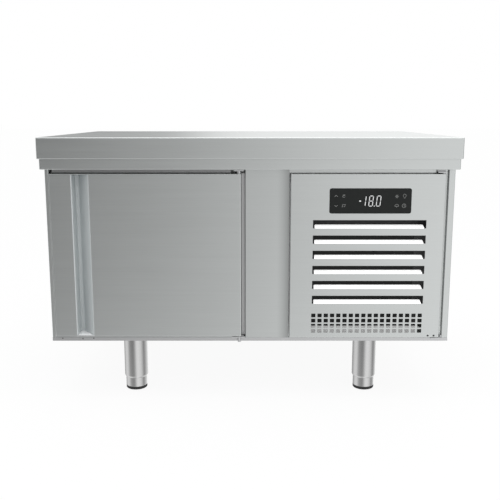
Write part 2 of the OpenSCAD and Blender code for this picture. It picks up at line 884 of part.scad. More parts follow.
module evaporator_fan_motor() {
  reach = evaporator_fan_d / 2 + fan_gap + arm_w / 2;
  plate = open_x1 + liner_t - evaporator_fan_x;
  color("#5a5d60") at_evaporator_fan()
    fan_motor(evaporator_motor_d, evaporator_motor_l, evaporator_fan_depth, reach, plate);
}

module drain_tray() {
  x0 = open_x1 + 6;
  y0 = coil_y0 - 34;
  spout_x = tray_x + 20;
  color(grey_plastic) difference() {
    union() {
      box([x0, y0, in_z0], [in_x1, in_y1 - 4, in_z0 + drain_tray_h]);
      rod([in_x1 - 1, drain_y, drain_z], [spout_x, drain_y, drain_z], drain_d);
    }
    box([x0 + 2, y0 + 2, in_z0 + 2], [in_x1 - 2, in_y1 - 6, in_z0 + drain_tray_h + e]);
    rod([in_x1 - 3, drain_y, drain_z], [spout_x + e, drain_y, drain_z], drain_d - 4);
  }
}

module compressor() {
  r = compressor_d / 2;
  h = compressor_h;
  dome = [for (i = [0:arc_steps]) let (a = 90 * i / arc_steps) [r * cos(a), h - 40 + 40 * sin(a)]];
  foot = compressor_foot / 2;
  color(black) translate([compressor_x, compressor_y, compressor_z]) {
    rotate_extrude() polygon(concat([[0, 0], [r * 0.7, 0], [r, 26]], dome));
    difference() {
      box([-foot, -foot, 0], [foot, foot, 3]);
      for (x = [mount_inset - foot, foot - mount_inset], y = [mount_inset - foot, foot - mount_inset]) {
        post(x, y, -e, 3 + e, 8);
      }
    }
    rod([0, boss_root - r, discharge_z - compressor_z],
        [0, -r - boss_l, discharge_z - compressor_z], boss_d);
    rod([boss_root - r, 0, return_z - compressor_z],
        [-r - boss_l, 0, return_z - compressor_z], boss_d);
  }
}

module compressor_mounts() {
  foot = compressor_foot / 2 - mount_inset;
  color("#2a2a2a") for (x = [-foot, foot], y = [-foot, foot]) {
    translate([compressor_x + x, compressor_y + y, pan_z]) {
      cylinder(d = mount_d, h = mount_h);
      cylinder(d = 7.8, h = mount_h + 9);
    }
  }
}

// Turns a coil's own frame so that its tubes run along X, behind the machine panel
module at_condenser() {
  translate([0, condenser_y0 + coil_depth, 0]) rotate([0, 0, -90]) children();
}

module condenser_fins() {
  color("#3a3c3e") difference() {
    union() {
      for (i = [1:condenser_fin_n - 1]) {
        x = condenser_x0 + i * fin_pitch;
        box([x, condenser_y0, condenser_z0], [x + fin_t, shroud_y0, condenser_z1]);
      }
      for (x = [condenser_x0, condenser_x1 - end_fin_t]) {
        box([x, condenser_y0, pan_z], [x + end_fin_t, shroud_y0, condenser_z1]);
      }
    }
    at_condenser() coil_holes(0, condenser_x0 - e, condenser_x1 + e, condenser_low, condenser_rows);
  }
}

module condenser_tubes() {
  color("#3a3c3e") at_condenser()
    coil(0, condenser_x0 - tube_end, condenser_x1 + tube_end, condenser_low, condenser_rows);
}

module condenser_shroud() {
  t = shroud_t;
  color(bright_steel) difference() {
    union() {
      box([condenser_x0, shroud_y0, condenser_z0], [condenser_x1, shroud_y1, condenser_z1]);
      for (x = [condenser_x0, condenser_x1 - t]) {
        box([x, shroud_y0, pan_z], [x + t, shroud_y1, condenser_z1]);
      }
    }
    box([condenser_x0 + t, shroud_y0 - e, condenser_z0 + t],
        [condenser_x1 - t, shroud_y1 - t, condenser_z1 - t]);
    rod([condenser_fan_x, shroud_y1 - t - e, condenser_fan_z],
        [condenser_fan_x, shroud_y1 + e, condenser_fan_z], condenser_fan_d + 2 * fan_gap);
  }
}

module condenser_fan() {
  color(black) at_condenser_fan() fan(condenser_fan_d, condenser_hub_d, condenser_fan_depth);
}

module condenser_fan_motor() {
  reach = condenser_fan_d / 2 + fan_gap + arm_w / 2;
  color("#5a5d60") at_condenser_fan()
    fan_motor(condenser_motor_d, condenser_motor_l, condenser_fan_depth, reach, -shroud_gap);
}

module filter_drier() {
  x = drier_x;
  color(copper) {
    rod([x, drier_y[0], drier_z], [x, drier_y[1], drier_z], liquid_d + 4);
    rod([x, drier_y[0] + 12, drier_z], [x, drier_y[1] - 12, drier_z], drier_d);
  }
}

module refrigerant_pipes() {
  front = shroud_y0 - coil_columns[0];
  rear = shroud_y0 - coil_columns[1];
  end_x = condenser_x0 - tube_end;
  gas_y = compressor_y - compressor_d / 2 - boss_l;
  gas_z = condenser_z1 + 25;
  a = coil_x0 + coil_columns[0];
  b = coil_x0 + coil_columns[1];
  turn_x = tray_x + tray_w / 2;
  suction_x = compressor_x - compressor_d / 2 - boss_l;
  color(copper) {
    pipe([[compressor_x, gas_y, discharge_z], [compressor_x, gas_y - 22, discharge_z],
          [compressor_x, gas_y - 22, gas_z], [riser_x, gas_y - 22, gas_z], [riser_x, front, gas_z],
          [riser_x, front, condenser_low], [end_x, front, condenser_low]], pipe_d);
    pipe([[end_x, rear, condenser_low], [drier_x, rear, condenser_low], [drier_x, rear, drier_z],
          [drier_x, drier_y[0], drier_z]], liquid_d);
    pipe([[drier_x, drier_y[1], drier_z], [drier_x, line_y, drier_z], [drier_x, line_y, liquid_z],
          [a, line_y, liquid_z], [a, line_y, suction_z], [a, coil_y0 - tube_end, suction_z]], liquid_d);
    pipe([[b, coil_y0 - tube_end, suction_z], [b, line_y, suction_z], [turn_x, line_y, suction_z],
          [turn_x, compressor_y, suction_z], [turn_x, compressor_y, return_z],
          [suction_x, compressor_y, return_z]], pipe_d);
  }
}

module condensate_tray() {
  w = tray_wall;
  color(grey_plastic) difference() {
    box([tray_x, tray_y, pan_z], [tray_x + tray_w, tray_y + tray_l, pan_z + tray_h]);
    box([tray_x + w, tray_y + w, pan_z + w],
        [tray_x + tray_w - w, tray_y + tray_l - w, pan_z + tray_h + e]);
  }
}

module cable_gland() {
  color(black) translate([gland_x, 0, gland_z]) rotate([-90, 0, 0]) difference() {
    union() {
      post(0, 0, my1 - gland_tail_l, back_y, gland_d);
      translate([0, 0, my1 - 6]) cylinder(d = gland_nut_d, h = 6, $fn = 6);
      translate([0, 0, back_y]) cylinder(d = gland_nut_d, h = gland_nut_l);
    }
    post(0, 0, my1 - gland_tail_l - e, back_y + gland_nut_l + e, gland_bore);
  }
}

// The right shift of the grip's slanted face when the skin is grown by g
function slant_shift(g) =
  g * grip_depth / grip_run + g * (grip_slant - grip_run) * grip_slant / (grip_depth * grip_run);

// The outline of the finger grip, grown by g into the door
function grip_outline(g) = let (
  r = grip_fold_r,
  wall_x = grip_x + r - g,
  floor_y = face_y + grip_depth + g,
  floor_x = grip_x + r + grip_floor + slant_shift(g)
) concat(
  [for (i = [0:arc_steps]) let (a = 90 * i / arc_steps - 90)
    [grip_x + (r - g) * cos(a), face_y + r + (r - g) * sin(a)]],
  [[wall_x, floor_y], [floor_x, floor_y], [floor_x + grip_slant, face_y + g],
   [floor_x + grip_slant, face_y - 1], [grip_x, face_y - 1]]
);

// The door's section seen from above, shrunk by g, back to y1
module door_section(g, y1) {
  difference() {
    translate([door_x0 + g, face_y + g]) square([door_x1 - door_x0 - 2 * g, y1 - face_y - g]);
    polygon(grip_outline(g));
  }
}

module door_skin() {
  h = front_z1 - door_z0;
  color(steel) difference() {
    union() {
      translate([0, 0, door_z0]) linear_extrude(h) door_section(0, skin_y1);
      for (z = [door_z0, front_z1 - sheet]) box([door_x0, face_y, z], [door_x1, skin_y1, z + sheet]);
    }
    translate([0, 0, door_z0 + sheet]) linear_extrude(h - 2 * sheet) door_section(sheet, skin_y1 + e);
    for (z = [door_z0, front_z1 - sheet]) {
      post(door_pivot[0], door_pivot[1], z - e, z + sheet + e, door_pin_d + 1);
    }
  }
}

// The corners of the door seen from the front, set in by s
function door_frame_box(s) = [door_x0 + s, door_x1 - s, door_z0 + s, front_z1 - s];

module door_liner() {
  t = door_liner_t;
  s = door_liner_step;
  o = door_frame_box(s);
  color(bright_steel) {
    ring_y(door_frame_box(sheet), door_frame_box(s + t), skin_y1 - t, skin_y1);
    ring_y(o, door_frame_box(s + t), skin_y1 - e, door_y1);
    box([o[0], door_y1 - t, o[2]], [o[1], door_y1, o[3]]);
  }
}

module door_foam() {
  t = door_liner_t;
  i = door_frame_box(door_liner_step + t);
  color(foam) difference() {
    union() {
      translate([0, 0, door_z0 + sheet]) linear_extrude(front_z1 - door_z0 - 2 * sheet)
        door_section(sheet, skin_y1 - t);
      box([i[0], skin_y1 - t - e, i[2]], [i[1], door_y1 - t, i[3]]);
    }
    hinge_block_boxes();
  }
}

module door_gasket() {
  s = door_liner_step + 2;
  b = s + (gasket_w - gasket_bulb_w) / 2;
  foot_y = door_y1 + gasket_t * 0.6;
  color("#8d9092") {
    ring_y(door_frame_box(s), door_frame_box(s + gasket_w), door_y1, foot_y);
    ring_y(door_frame_box(b), door_frame_box(b + gasket_bulb_w), foot_y - e, seal_y);
  }
}

// The two blocks in the door's corners that turn on the pins
module hinge_block_boxes() {
  x1 = door_x1 - sheet;
  y0 = face_y + sheet;
  for (z = [door_z0 + sheet, front_z1 - sheet - block_h]) {
    box([x1 - block_l, y0, z], [x1, y0 + block_l, z + block_h]);
  }
}

module door_hinge_blocks() {
  color(black) difference() {
    hinge_block_boxes();
    post(door_pivot[0], door_pivot[1], door_z0, front_z1, door_pin_d + 2 * pin_play);
  }
}

module door_hinge_brackets() {
  x = door_pivot[0];
  y = door_pivot[1];
  lower_z = rail_z + bracket_t;
  top_z = body_z1 - sheet;
  upper_z = top_z - upper_bracket_t;
  color(bright_steel) {
    box([x - bracket_side, y - bracket_front, rail_z],
        [mullion_x0 - bracket_gap, y + bracket_back, lower_z]);
    post(x, y, body_z0 - 0.5, lower_z, knuckle_d);
    post(x, y, rail_z, door_z0 - shoulder_gap, door_pin_d + 2 * shoulder_w);
    post(x, y, rail_z, door_z0 + pin_l, door_pin_d);
    box([x - upper_bracket_side, y - bracket_front, upper_z],
        [mullion_x0 - bracket_gap, y + bracket_back, top_z]);
    post(x, y, front_z1 + shoulder_gap, top_z, door_pin_d + 2 * shoulder_w);
    post(x, y, front_z1 - pin_l, top_z, door_pin_d);
  }
}

module front_panel() {
  t = sheet;
  display_x0 = panel_x0 + display_x;
  display_z1 = front_z1 - display_drop;
  play = 0.3;
  color(steel) {
    difference() {
      box([panel_x0, face_y, panel_z0], [panel_x1, face_y + panel_fold, front_z1]);
      box([panel_x0 + t, face_y + t, panel_z0 + t],
          [panel_x1 - t, face_y + panel_fold + e, front_z1 - t]);
      for (i = [0:slot_n - 1]) {
        z = front_z1 - slot_drop - i * slot_pitch;
        box([slot_x0, face_y - e, z - slot_h], [slot_x0 + slot_w, face_y + t + e, z]);
      }
      for (i = [0:hole_nx - 1], k = [0:hole_nz - 1]) {
        x = slot_x0 - 1 + i * hole_pitch_x;
        z = grid_z1 - k * hole_pitch_z;
        box([x, face_y - e, z - hole_h], [x + hole_w, face_y + t + e, z]);
      }
      rounded_y(display_x0 - play, display_x0 + display_w + play, display_z1 - display_h - play,
                display_z1 + play, display_r, face_y - e, face_y + t + e);
      for (p = screw_places()) {
        rod([p[0], face_y - e, p[1]], [p[0], face_y + t + e, p[1]], screw_hole_d);
      }
      post(panel_pivot[0], panel_pivot[1], panel_z0 - e, panel_z0 + t + e, panel_pin_d + 1);
      post(panel_pivot[0], panel_pivot[1], front_z1 - t - e, front_z1 + e, panel_pin_d + 1);
    }
    for (i = [0:slot_n - 1]) {
      translate([slot_x0 + flap_notch, face_y, front_z1 - slot_drop - i * slot_pitch - slot_h])
        rotate([-flap_angle, 0, 0]) cube([slot_w - 2 * flap_notch, t, flap_l]);
    }
  }
}

// The places of the two screws in the panel's lower right corner
function screw_places() = [for (i = [0, 1])
  [panel_pivot[0] - 22 + i * screw_pitch, panel_z0 + sheet + panel_block_h / 2 - 0.5]];

module display_glass() {
  x0 = panel_x0 + display_x;
  z1 = front_z1 - display_drop;
  y0 = face_y + sheet - glass_t;
  color(black) rounded_y(x0, x0 + display_w, z1 - display_h, z1, display_r, y0, y0 + glass_t);
}

module controller_module() {
  rim = 4;
  y0 = face_y + sheet;
  x0 = panel_x0 + display_x;
  z1 = front_z1 - display_drop;
  color("#2a2c2e") {
    box([x0 - rim, y0, z1 - display_h - rim], [x0 + display_w + rim, y0 + 2, z1 + rim]);
    box([x0 + rim, y0, z1 - display_h + rim], [x0 + display_w - rim, y0 + controller_depth, z1 - rim]);
  }
}

module panel_hinge_blocks() {
  x1 = panel_x1 - sheet;
  y0 = face_y + sheet;
  color(black) difference() {
    for (z = [panel_z0 + sheet, front_z1 - sheet - panel_block_h]) {
      box([x1 - panel_block_l, y0, z], [x1, y0 + panel_block_d, z + panel_block_h]);
    }
    post(panel_pivot[0], panel_pivot[1], panel_z0, front_z1, panel_pin_d + 2 * pin_play);
    for (p = screw_places()) rod([p[0], y0 - e, p[1]], [p[0], y0 + 8, p[1]], 3);
  }
}

module panel_screws() {
  color(black) for (p = screw_places()) {
    rod([p[0], face_y + 0.2, p[1]], [p[0], face_y + sheet, p[1]], screw_hole_d - 0.4);
    rod([p[0], face_y + sheet, p[1]], [p[0], face_y + sheet + 8, p[1]], 3);
  }
}

module panel_hinge_brackets() {
  x = panel_pivot[0];
  y = panel_pivot[1];
  lower_z = flange_z + bracket_t;
  upper_z = front_z1 + bracket_t;
  top_z = body_z1 - sheet;
  x0 = x - panel_bracket_w;
  x1 = x + panel_bracket_side;
  y0 = y - bracket_front;
  y1 = y + panel_bracket_back;
  shoulder_d = panel_pin_d + 2 * shoulder_w;
  color(bright_steel) {
    box([x0, y0, flange_z], [fold_x, lip_y - sheet, lower_z]);
    box([fold_x - side_tab_w, y1 - bracket_front, flange_z],
        [fold_x, lip_y - sheet, flange_z + side_tab_h]);
    post(x, y, flange_z, panel_z0 - shoulder_gap, shoulder_d);
    post(x, y, flange_z, panel_z0 + panel_pin_l, panel_pin_d);
    box([x0, y0, upper_z], [x1, y1, upper_z + bracket_t]);
    box([x0, y1 - bracket_t, upper_z], [x1, y1, top_z]);
    post(x, y, front_z1 + shoulder_gap, upper_z + bracket_t, shoulder_d);
    post(x, y, front_z1 - panel_pin_l, upper_z + bracket_t, panel_pin_d);
  }
}

worktop();
worktop_core();
top_frame();
side_panel_left();
side_panel_right();
back_panel();
base_pan();
insulation_left();
insulation_back();
insulation_floor_and_ceiling();
insulation_divider();
inner_liner();
door_frame();
mullion_cover();
divider_panel();
lintel_rail();
bottom_rail();
leg_plates();
leg_bolts();
leg_tubes();
foot_insert(-leg_x, leg_y[0]);  // foot_insert_front_left
foot_insert(leg_x, leg_y[0]);  // foot_insert_front_right
foot_insert(-leg_x, leg_y[1]);  // foot_insert_back_left
foot_insert(leg_x, leg_y[1]);  // foot_insert_back_right
foot_tip(-leg_x, leg_y[0]);  // foot_tip_front_left
foot_tip(leg_x, leg_y[0]);  // foot_tip_front_right
foot_tip(-leg_x, leg_y[1]);  // foot_tip_back_left
foot_tip(leg_x, leg_y[1]);  // foot_tip_back_right
shelf_uprights();
shelf_runners();
wire_shelf();
evaporator_fins();
evaporator_tubes();
evaporator_cover();
evaporator_fan();
evaporator_fan_motor();
drain_tray();
compressor();
compressor_mounts();
condenser_fins();
condenser_tubes();
condenser_shroud();
condenser_fan();
condenser_fan_motor();
filter_drier();
refrigerant_pipes();
condensate_tray();
cable_gland();
door_skin();
door_liner();
door_foam();
door_gasket();
door_hinge_brackets();
door_hinge_blocks();
front_panel();
display_glass();
controller_module();
panel_hinge_brackets();
panel_hinge_blocks();
panel_screws();
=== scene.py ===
# %% [markdown]
# # An undercounter freezer, dressed for the camera
#
# The solid model already has every sheet, pipe and hinge of this low catering counter in its
# place. This lesson gives it the looks: rounded folds where steel was bent, a real finish for
# each material, and the soft studio light that makes brushed steel look like steel.
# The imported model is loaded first, as a frame that never moves.

# %% Load the frame
import json
import math
import bmesh
import bpy
import numpy as np
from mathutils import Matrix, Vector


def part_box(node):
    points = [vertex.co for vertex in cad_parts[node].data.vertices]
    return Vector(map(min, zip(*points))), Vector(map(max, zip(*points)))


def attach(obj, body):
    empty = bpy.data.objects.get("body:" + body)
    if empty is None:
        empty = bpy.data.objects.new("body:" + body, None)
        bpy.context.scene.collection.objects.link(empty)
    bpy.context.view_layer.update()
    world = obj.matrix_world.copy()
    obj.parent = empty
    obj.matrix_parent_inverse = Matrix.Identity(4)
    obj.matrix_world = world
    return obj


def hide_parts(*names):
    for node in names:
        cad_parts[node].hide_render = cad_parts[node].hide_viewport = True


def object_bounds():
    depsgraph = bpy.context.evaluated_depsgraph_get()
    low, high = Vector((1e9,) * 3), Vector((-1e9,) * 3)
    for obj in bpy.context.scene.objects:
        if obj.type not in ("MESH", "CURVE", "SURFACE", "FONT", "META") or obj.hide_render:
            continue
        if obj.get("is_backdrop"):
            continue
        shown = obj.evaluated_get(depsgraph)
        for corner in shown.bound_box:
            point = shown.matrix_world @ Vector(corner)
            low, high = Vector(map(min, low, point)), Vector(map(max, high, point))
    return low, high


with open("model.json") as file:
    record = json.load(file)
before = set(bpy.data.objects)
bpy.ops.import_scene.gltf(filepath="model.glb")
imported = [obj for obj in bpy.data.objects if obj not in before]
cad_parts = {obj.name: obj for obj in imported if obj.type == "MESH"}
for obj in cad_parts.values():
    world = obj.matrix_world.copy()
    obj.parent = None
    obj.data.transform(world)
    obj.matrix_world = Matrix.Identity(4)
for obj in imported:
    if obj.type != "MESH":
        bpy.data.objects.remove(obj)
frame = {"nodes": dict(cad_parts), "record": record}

cad_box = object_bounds()
print("box of the solid model:", [[round(float(v), 4) for v in corner] for corner in cad_box])

# %% [markdown]
# ## Shader arithmetic
#
# A shader is a network of nodes, and its formulas are hard to read as a list of links. A small
# class wraps one output of a node, so that `1 - 0.3 * lines` can be written as it is thought.
# Each operator adds one Math node. Every other node comes from `make`, which takes the node's
# type, then its settings, then what goes into its sockets.

# %% A shader value
class Term:
    """One output of a shader node, which takes part in Python arithmetic."""
    tree = None

    def __init__(self, node, output=0):
        self.node = node
        self.out = node.outputs[output]

    @classmethod
    def make(cls, kind, settings=None, inputs=None, output=0):
        """Adds a node of the kind: its settings first, then its sockets' values or links."""
        node = cls.tree.nodes.new("ShaderNode" + kind)
        for name, value in (settings or {}).items():
            if name == "stops":
                ramp = node.color_ramp.elements
                while len(ramp) < len(value):
                    ramp.new(0.5)
                for element, (position, shade) in zip(ramp, value):
                    element.position, element.color = position, (shade, shade, shade, 1)
            else:
                setattr(node, name, value)
        for name, value in (inputs or {}).items():
            plug(cls.tree, node.inputs[name], value)
        return cls(node, output)

    def math(self, operation, other=0.0):
        """One Math node on this value and another."""
        return Term.make("Math", {"operation": operation}, {0: self, 1: other})

    def __add__(self, other):
        return self.math("ADD", other)

    def __sub__(self, other):
        return self.math("SUBTRACT", other)

    def __mul__(self, other):
        return self.math("MULTIPLY", other)

    def __truediv__(self, other):
        return self.math("DIVIDE", other)

    def __rsub__(self, other):
        return Term.make("Math", {"operation": "SUBTRACT"}, {0: other, 1: self})

    __radd__ = __add__
    __rmul__ = __mul__

    def rise(self, low, high):
        """0 below low, 1 above high, and an S-shaped rise between them."""
        return Term.make("MapRange", {"interpolation_type": "SMOOTHSTEP"},
                         {"Value": self, "From Min": low, "From Max": high})


def plug(tree, socket, value):
    """Links a shader value to a socket, or writes a plain number or colour on it."""
    if isinstance(value, Term):
        tree.links.new(value.out, socket)
    elif socket.type == "RGBA":
        socket.default_value = (*value, 1)
    else:
        socket.default_value = value


def mix(factor, first, second):
    """The colour that goes from first to second as factor goes from 0 to 1."""
    return Term.make("Mix", {"data_type": "RGBA"}, {0: factor, 6: first, 7: second}, output=2)


# %% [markdown]
# ## Starting a material
#
# Every finish is one Principled shader with patterns behind it. The patterns read Object
# coordinates: all meshes here lie in one shared frame, so a pattern runs on in one piece and
# doesn't stretch. `grain` is noise that may be stretched along one direction, which is what
# brushing, drawing and rolling leave in metal.

# %% Helpers for materials
def start(name):
    """A new material, whose node tree is written next."""
    material = bpy.data.materials.new(name)
    material.use_nodes = True
    Term.tree = material.node_tree
    return material


def settle(material, sockets):
    """Gives the sockets of the material's Principled shader their values."""
    shader = material.node_tree.nodes["Principled BSDF"]
    for name, value in sockets.items():
        plug(material.node_tree, shader.inputs[name], value)
    return material


def grain(scale, detail=2.0, rough=0.5):
    """Noise in Object coordinates. scale is its fineness per metre along X, Y and Z."""
    place = Term.make("TexCoord", output="Object")
    place = Term.make("Mapping", {"vector_type": "POINT"}, {"Vector": place, "Scale": scale})
    return Term.make("TexNoise", {}, {"Vector": place, "Scale": 1.0, "Detail": detail,
                                      "Roughness": rough})


def relief(height, depth):
    """A bump whose full height is depth metres."""
    return Term.make("Bump", {}, {"Height": height, "Distance": depth, "Strength": 1.0})


def tint(colour, factor):
    """The colour made lighter or darker, no part of it above 1."""
    return tuple(min(1.0, c * factor) for c in colour)


# %% [markdown]
# ## Brushed stainless steel
#
# The outside of the counter is stainless sheet, brushed along its length. The brush leaves
# scratches a fraction of a millimetre wide and some centimetres long. An image of scratches
# would repeat, so they are noise here, drawn out about a hundred times along the brushing. It
# changes the colour, the roughness and a very shallow bump. A second, cloudy noise stands for
# the slight waves and wiped traces of a real sheet.
#
# The sheet between the door and the machine panel mirrors the panel's dark edge in its last
# centimetres. Blurred as it is, that reads as a soft shade. It is painted into the colour by
# position: a painted shade.

# %% Steel finishes
STEEL = (0.571, 0.59, 0.585)
FINE, FINE_ALONG = 900.0, 7.0        # scratches per metre, across the brushing and along it
COARSE, COARSE_ALONG = 160.0, 3.0
# The painted shade beside the machine panel: where it begins and ends, and how dark it gets.
SHADE_BEFORE, SHADE_PAST = 0.031, 0.008    # the soft shade's ends, in metres from the step
SHADE_TONE = 0.58                          # how much of the colour is left in it
PANEL_STEP = 0.0945                        # X of the step, where the machine panel begins


def brushed(name, along, colour=STEEL, roughness=0.33, depth=0.00002, metal=1.0, step_at=None):
    """Brushed sheet. along is 0, 1 or 2, the axis that the brushing follows. Where the sheet
    ends at a step, step_at is the step's X: the last centimetres before it are darker, a
    painted shade."""
    material = start(name)
    fine, coarse = [FINE] * 3, [COARSE] * 3
    fine[along], coarse[along] = FINE_ALONG, COARSE_ALONG
    lines = grain(fine, 3.0, 0.65) * 0.7 + grain(coarse, 2.0) * 0.3
    clouds = grain((2.2, 2.2, 2.2), 3.0)
    tone = lines.rise(0.3, 0.7) * 0.6 + clouds.rise(0.25, 0.75) * 0.4
    rough = (lines - 0.5) * 0.16 + (clouds - 0.5) * 0.05 + roughness
    surface = mix(tone, tint(colour, 0.965), tint(colour, 1.035))
    # Painted shade: the colour darkens over the last centimetres before the step.
    if step_at is not None:
        place = Term.make("TexCoord", output="Object")
        x = Term.make("SeparateXYZ", {}, {0: place}, output="X")
        near = x.rise(step_at - SHADE_BEFORE, step_at + SHADE_PAST)
        surface = mix(near, surface, tint(colour, SHADE_TONE))
    return settle(material, {
        "Base Color": surface, "Metallic": metal, "Roughness": rough,
        "Normal": relief(lines, depth)})


steel_x = brushed("steel_brushed_across", 0)
steel_y = brushed("steel_brushed_front_to_back", 1)
mullion_steel_painted_shade = brushed("steel_with_painted_shade", 0, step_at=PANEL_STEP)
grip_steel = brushed("grip_steel", 2, (0.552, 0.582, 0.588), 0.5, 0.00001, 0.2)
# A near-white copy of the steel for the lips in the panel's gaps and the grip's lower end: painted
# light.
steel_painted_light = brushed("steel_painted_light", 0, (0.95, 0.955, 0.96), 0.5, 0.00001, 0.0)
# A darker copy of the steel for the stop and the lip in the gaps by the door: painted shade.
gap_steel_painted_shade = brushed("gap_steel_painted_shade", 0, (0.43, 0.432, 0.435), 0.45)
leg_steel = brushed("leg_steel", 2, (0.535, 0.535, 0.535), 0.2, 0.00001)
plain_steel = brushed("plain_steel", 1, (0.56, 0.565, 0.57), 0.42, 0.00001)
liner_steel = brushed("liner_steel", 0, (0.66, 0.665, 0.66), 0.36, 0.00001)
print("steel finishes:", len([m for m in bpy.data.materials if "steel" in m.name]))

# %% [markdown]
# ## The other finishes
#
# Foam, plastics, rubber, glass, copper, fins, paints. Each has the grain that its making
# leaves: bubbles in the cut foam, spark-eroded grain on moulded plastic, an orange skin on
# the compressor's paint, stains on the copper.

# %% Plastics, rubber and foam
def moulded(name, colour, roughness, cell=900.0, depth=0.00004, spread=0.08):
    """Moulded plastic or rubber with a fine even grain and a faint cloudiness."""
    material = start(name)
    skin = grain((cell,) * 3, 2.0)
    clouds = grain((14.0,) * 3, 3.0)
    return settle(material, {
        "Base Color": mix(clouds.rise(0.3, 0.7), tint(colour, 1 - spread),
                          tint(colour, 1 + spread)),
        "Roughness": (skin - 0.5) * 0.15 + (clouds - 0.5) * 0.1 + roughness,
        "Normal": relief(skin, depth)})


def foam_finish():
    """Rigid foam: pale yellow, with small bubbles where it was cut. The bubbles' hollows are
    darker in colour: painted shade.
    """
    material = start("foam")
    place = Term.make("TexCoord", output="Object")
    bubbles = Term.make("TexVoronoi", {}, {"Vector": place, "Scale": 420.0})
    stain = grain((9.0,) * 3, 4.0)
    colour = mix(stain.rise(0.3, 0.75), (0.78, 0.70, 0.46), (0.70, 0.60, 0.34))
    return settle(material, {
        "Base Color": mix(bubbles.rise(0.0, 0.25), (0.52, 0.44, 0.24), colour),
        "Roughness": 0.9 - bubbles * 0.2, "Normal": relief(bubbles, 0.0006)})


def slot_light(name, shade, glow):
    """A pale satin sheet behind the slots. It glows with a painted light of its own, which stands
    for the daylight that falls through each opening and stays between the sheets."""
    material = start(name)
    lines = grain((7.0, 900.0, 900.0), 3.0)
    tone = mix(lines.rise(0.3, 0.7), tint((1, 1.005, 1), shade - 0.03),
               tint((1, 1, 1), shade + 0.02))
    return settle(material, {"Base Color": tone, "Roughness": lines * 0.2 + 0.3,
                             "Emission Color": tone, "Emission Strength": glow})


# The flaps' finish glows: painted light.
flap_painted_glow = slot_light("flap_painted_glow", 0.93, 0.62)
# The lower rail's lip: a darker sheet with the same painted glow.
rail_painted_glow = slot_light("rail_painted_glow", 0.48, 0.40)
black_plastic = moulded("black_plastic", (0.018, 0.018, 0.02), 0.48)
grey_plastic = moulded("grey_plastic", (0.56, 0.57, 0.57), 0.5)
seal_grey = moulded("seal_vinyl", (0.16, 0.165, 0.17), 0.55, 500.0, 0.00003)
rubber = moulded("foot_rubber", (0.02, 0.02, 0.021), 0.7, 700.0, 0.00008)
foam = foam_finish()

# %% [markdown]
# The control glass is smooth and dark, with a trace of wiping. Its digits shine and its
# symbols are printed. Smoothness alone would make the glass a flat black, so its roughness
# changes a little from place to place.

# %% Glass, digits and symbols
def glass_finish():
    """Dark glass, wiped upright."""
    material = start("display_glass")
    wiped = grain((40.0, 40.0, 9.0), 4.0)
    return settle(material, {
        "Base Color": mix(wiped, (0.013, 0.0145, 0.014), (0.017, 0.0185, 0.018)),
        "Roughness": wiped * 0.10 + 0.06, "IOR": 1.5, "Specular IOR Level": 0.12})


def lit(name, colour, strength):
    """A shining readout: even at its middle, a little uneven as a lamp behind a mask is."""
    material = start(name)
    glow = grain((300.0,) * 3, 1.0)
    return settle(material, {
        "Base Color": mix(glow, (0.28, 0.28, 0.28), (0.34, 0.34, 0.34)), "Roughness": 0.4,
        "Emission Color": mix(glow.rise(0.2, 0.8), tint(colour, 0.92), colour),
        "Emission Strength": strength})


display_black = glass_finish()
readout_white = lit("readout_light", (0.98, 0.99, 1.0), 0.52)
symbol_grey = moulded("symbol_print", (0.22, 0.225, 0.22), 0.5, 600.0, 0.00001)

# %% [markdown]
# Copper pipes are drawn, so they are smooth along their length, and they stain where hands
# and flux touched them. Fins are rolled aluminium. The compressor and the condenser are
# painted, which softens their edges and leaves a fine orange skin.

# %% Copper, fins and paints
def copper_finish():
    """Drawn copper that stains in clouds. A stain is duller and less metallic."""
    material = start("copper")
    stain = grain((22.0,) * 3, 5.0, 0.6)
    drawn = grain((500.0,) * 3, 2.0)
    worn = stain.rise(0.42, 0.68)
    return settle(material, {
        "Base Color": mix(worn, (0.80, 0.44, 0.28), (0.42, 0.22, 0.15)),
        "Metallic": 1.0 - worn * 0.35, "Roughness": worn * 0.25 + drawn * 0.08 + 0.22,
        "Normal": relief(drawn, 0.00002)})


def painted(name, colour, roughness, skin=240.0, depth=0.00006, dust=0.15, glow=0.0):
    """Sprayed paint with an orange skin, and a film of dust that gathers in clouds. The glow
    is a painted light that lifts the dark between the fins."""
    material = start(name)
    peel = grain((skin,) * 3, 2.0)
    cloud = grain((16.0,) * 3, 4.0).rise(0.35, 0.8)
    dusty = tuple(c * (1 - dust) + 0.32 * dust for c in colour)
    return settle(material, {
        "Base Color": mix(cloud, colour, dusty), "Roughness": cloud * 0.2 + roughness,
        "Normal": relief(peel, depth), "Emission Color": (0.98, 1.0, 1.0),
        "Emission Strength": glow})


def fin_finish():
    """Rolled aluminium."""
    material = start("fin_aluminium")
    rolled = grain((60.0, 60.0, 700.0), 2.0)
    return settle(material, {
        "Base Color": mix(rolled.rise(0.3, 0.7), (0.70, 0.71, 0.72), (0.80, 0.81, 0.82)),
        "Metallic": 1.0, "Roughness": rolled * 0.15 + 0.3, "Normal": relief(rolled, 0.00003)})


copper = copper_finish()
fin_aluminium = fin_finish()
# The coil's paint has a faint painted glow, which lifts the dark seen through the slots.
coil_black = painted("coil_paint_and_painted_glow", (0.02, 0.02, 0.021), 0.5, 300.0, 0.00004, 0.06, 0.012)
black_paint = painted("compressor_paint", (0.016, 0.016, 0.017), 0.28, 180.0, 0.00010, 0.06)
motor_grey = painted("motor_paint", (0.12, 0.125, 0.13), 0.45)

# %% [markdown]
# ## Finishes for the solids that stay
#
# Flat sheets and slabs are right as the solid model has them. Such a node keeps its mesh and
# only gets a better material, chosen by its slot in the record. The cold side's linings are a
# brighter sheet than their slot says, so they are named one by one.

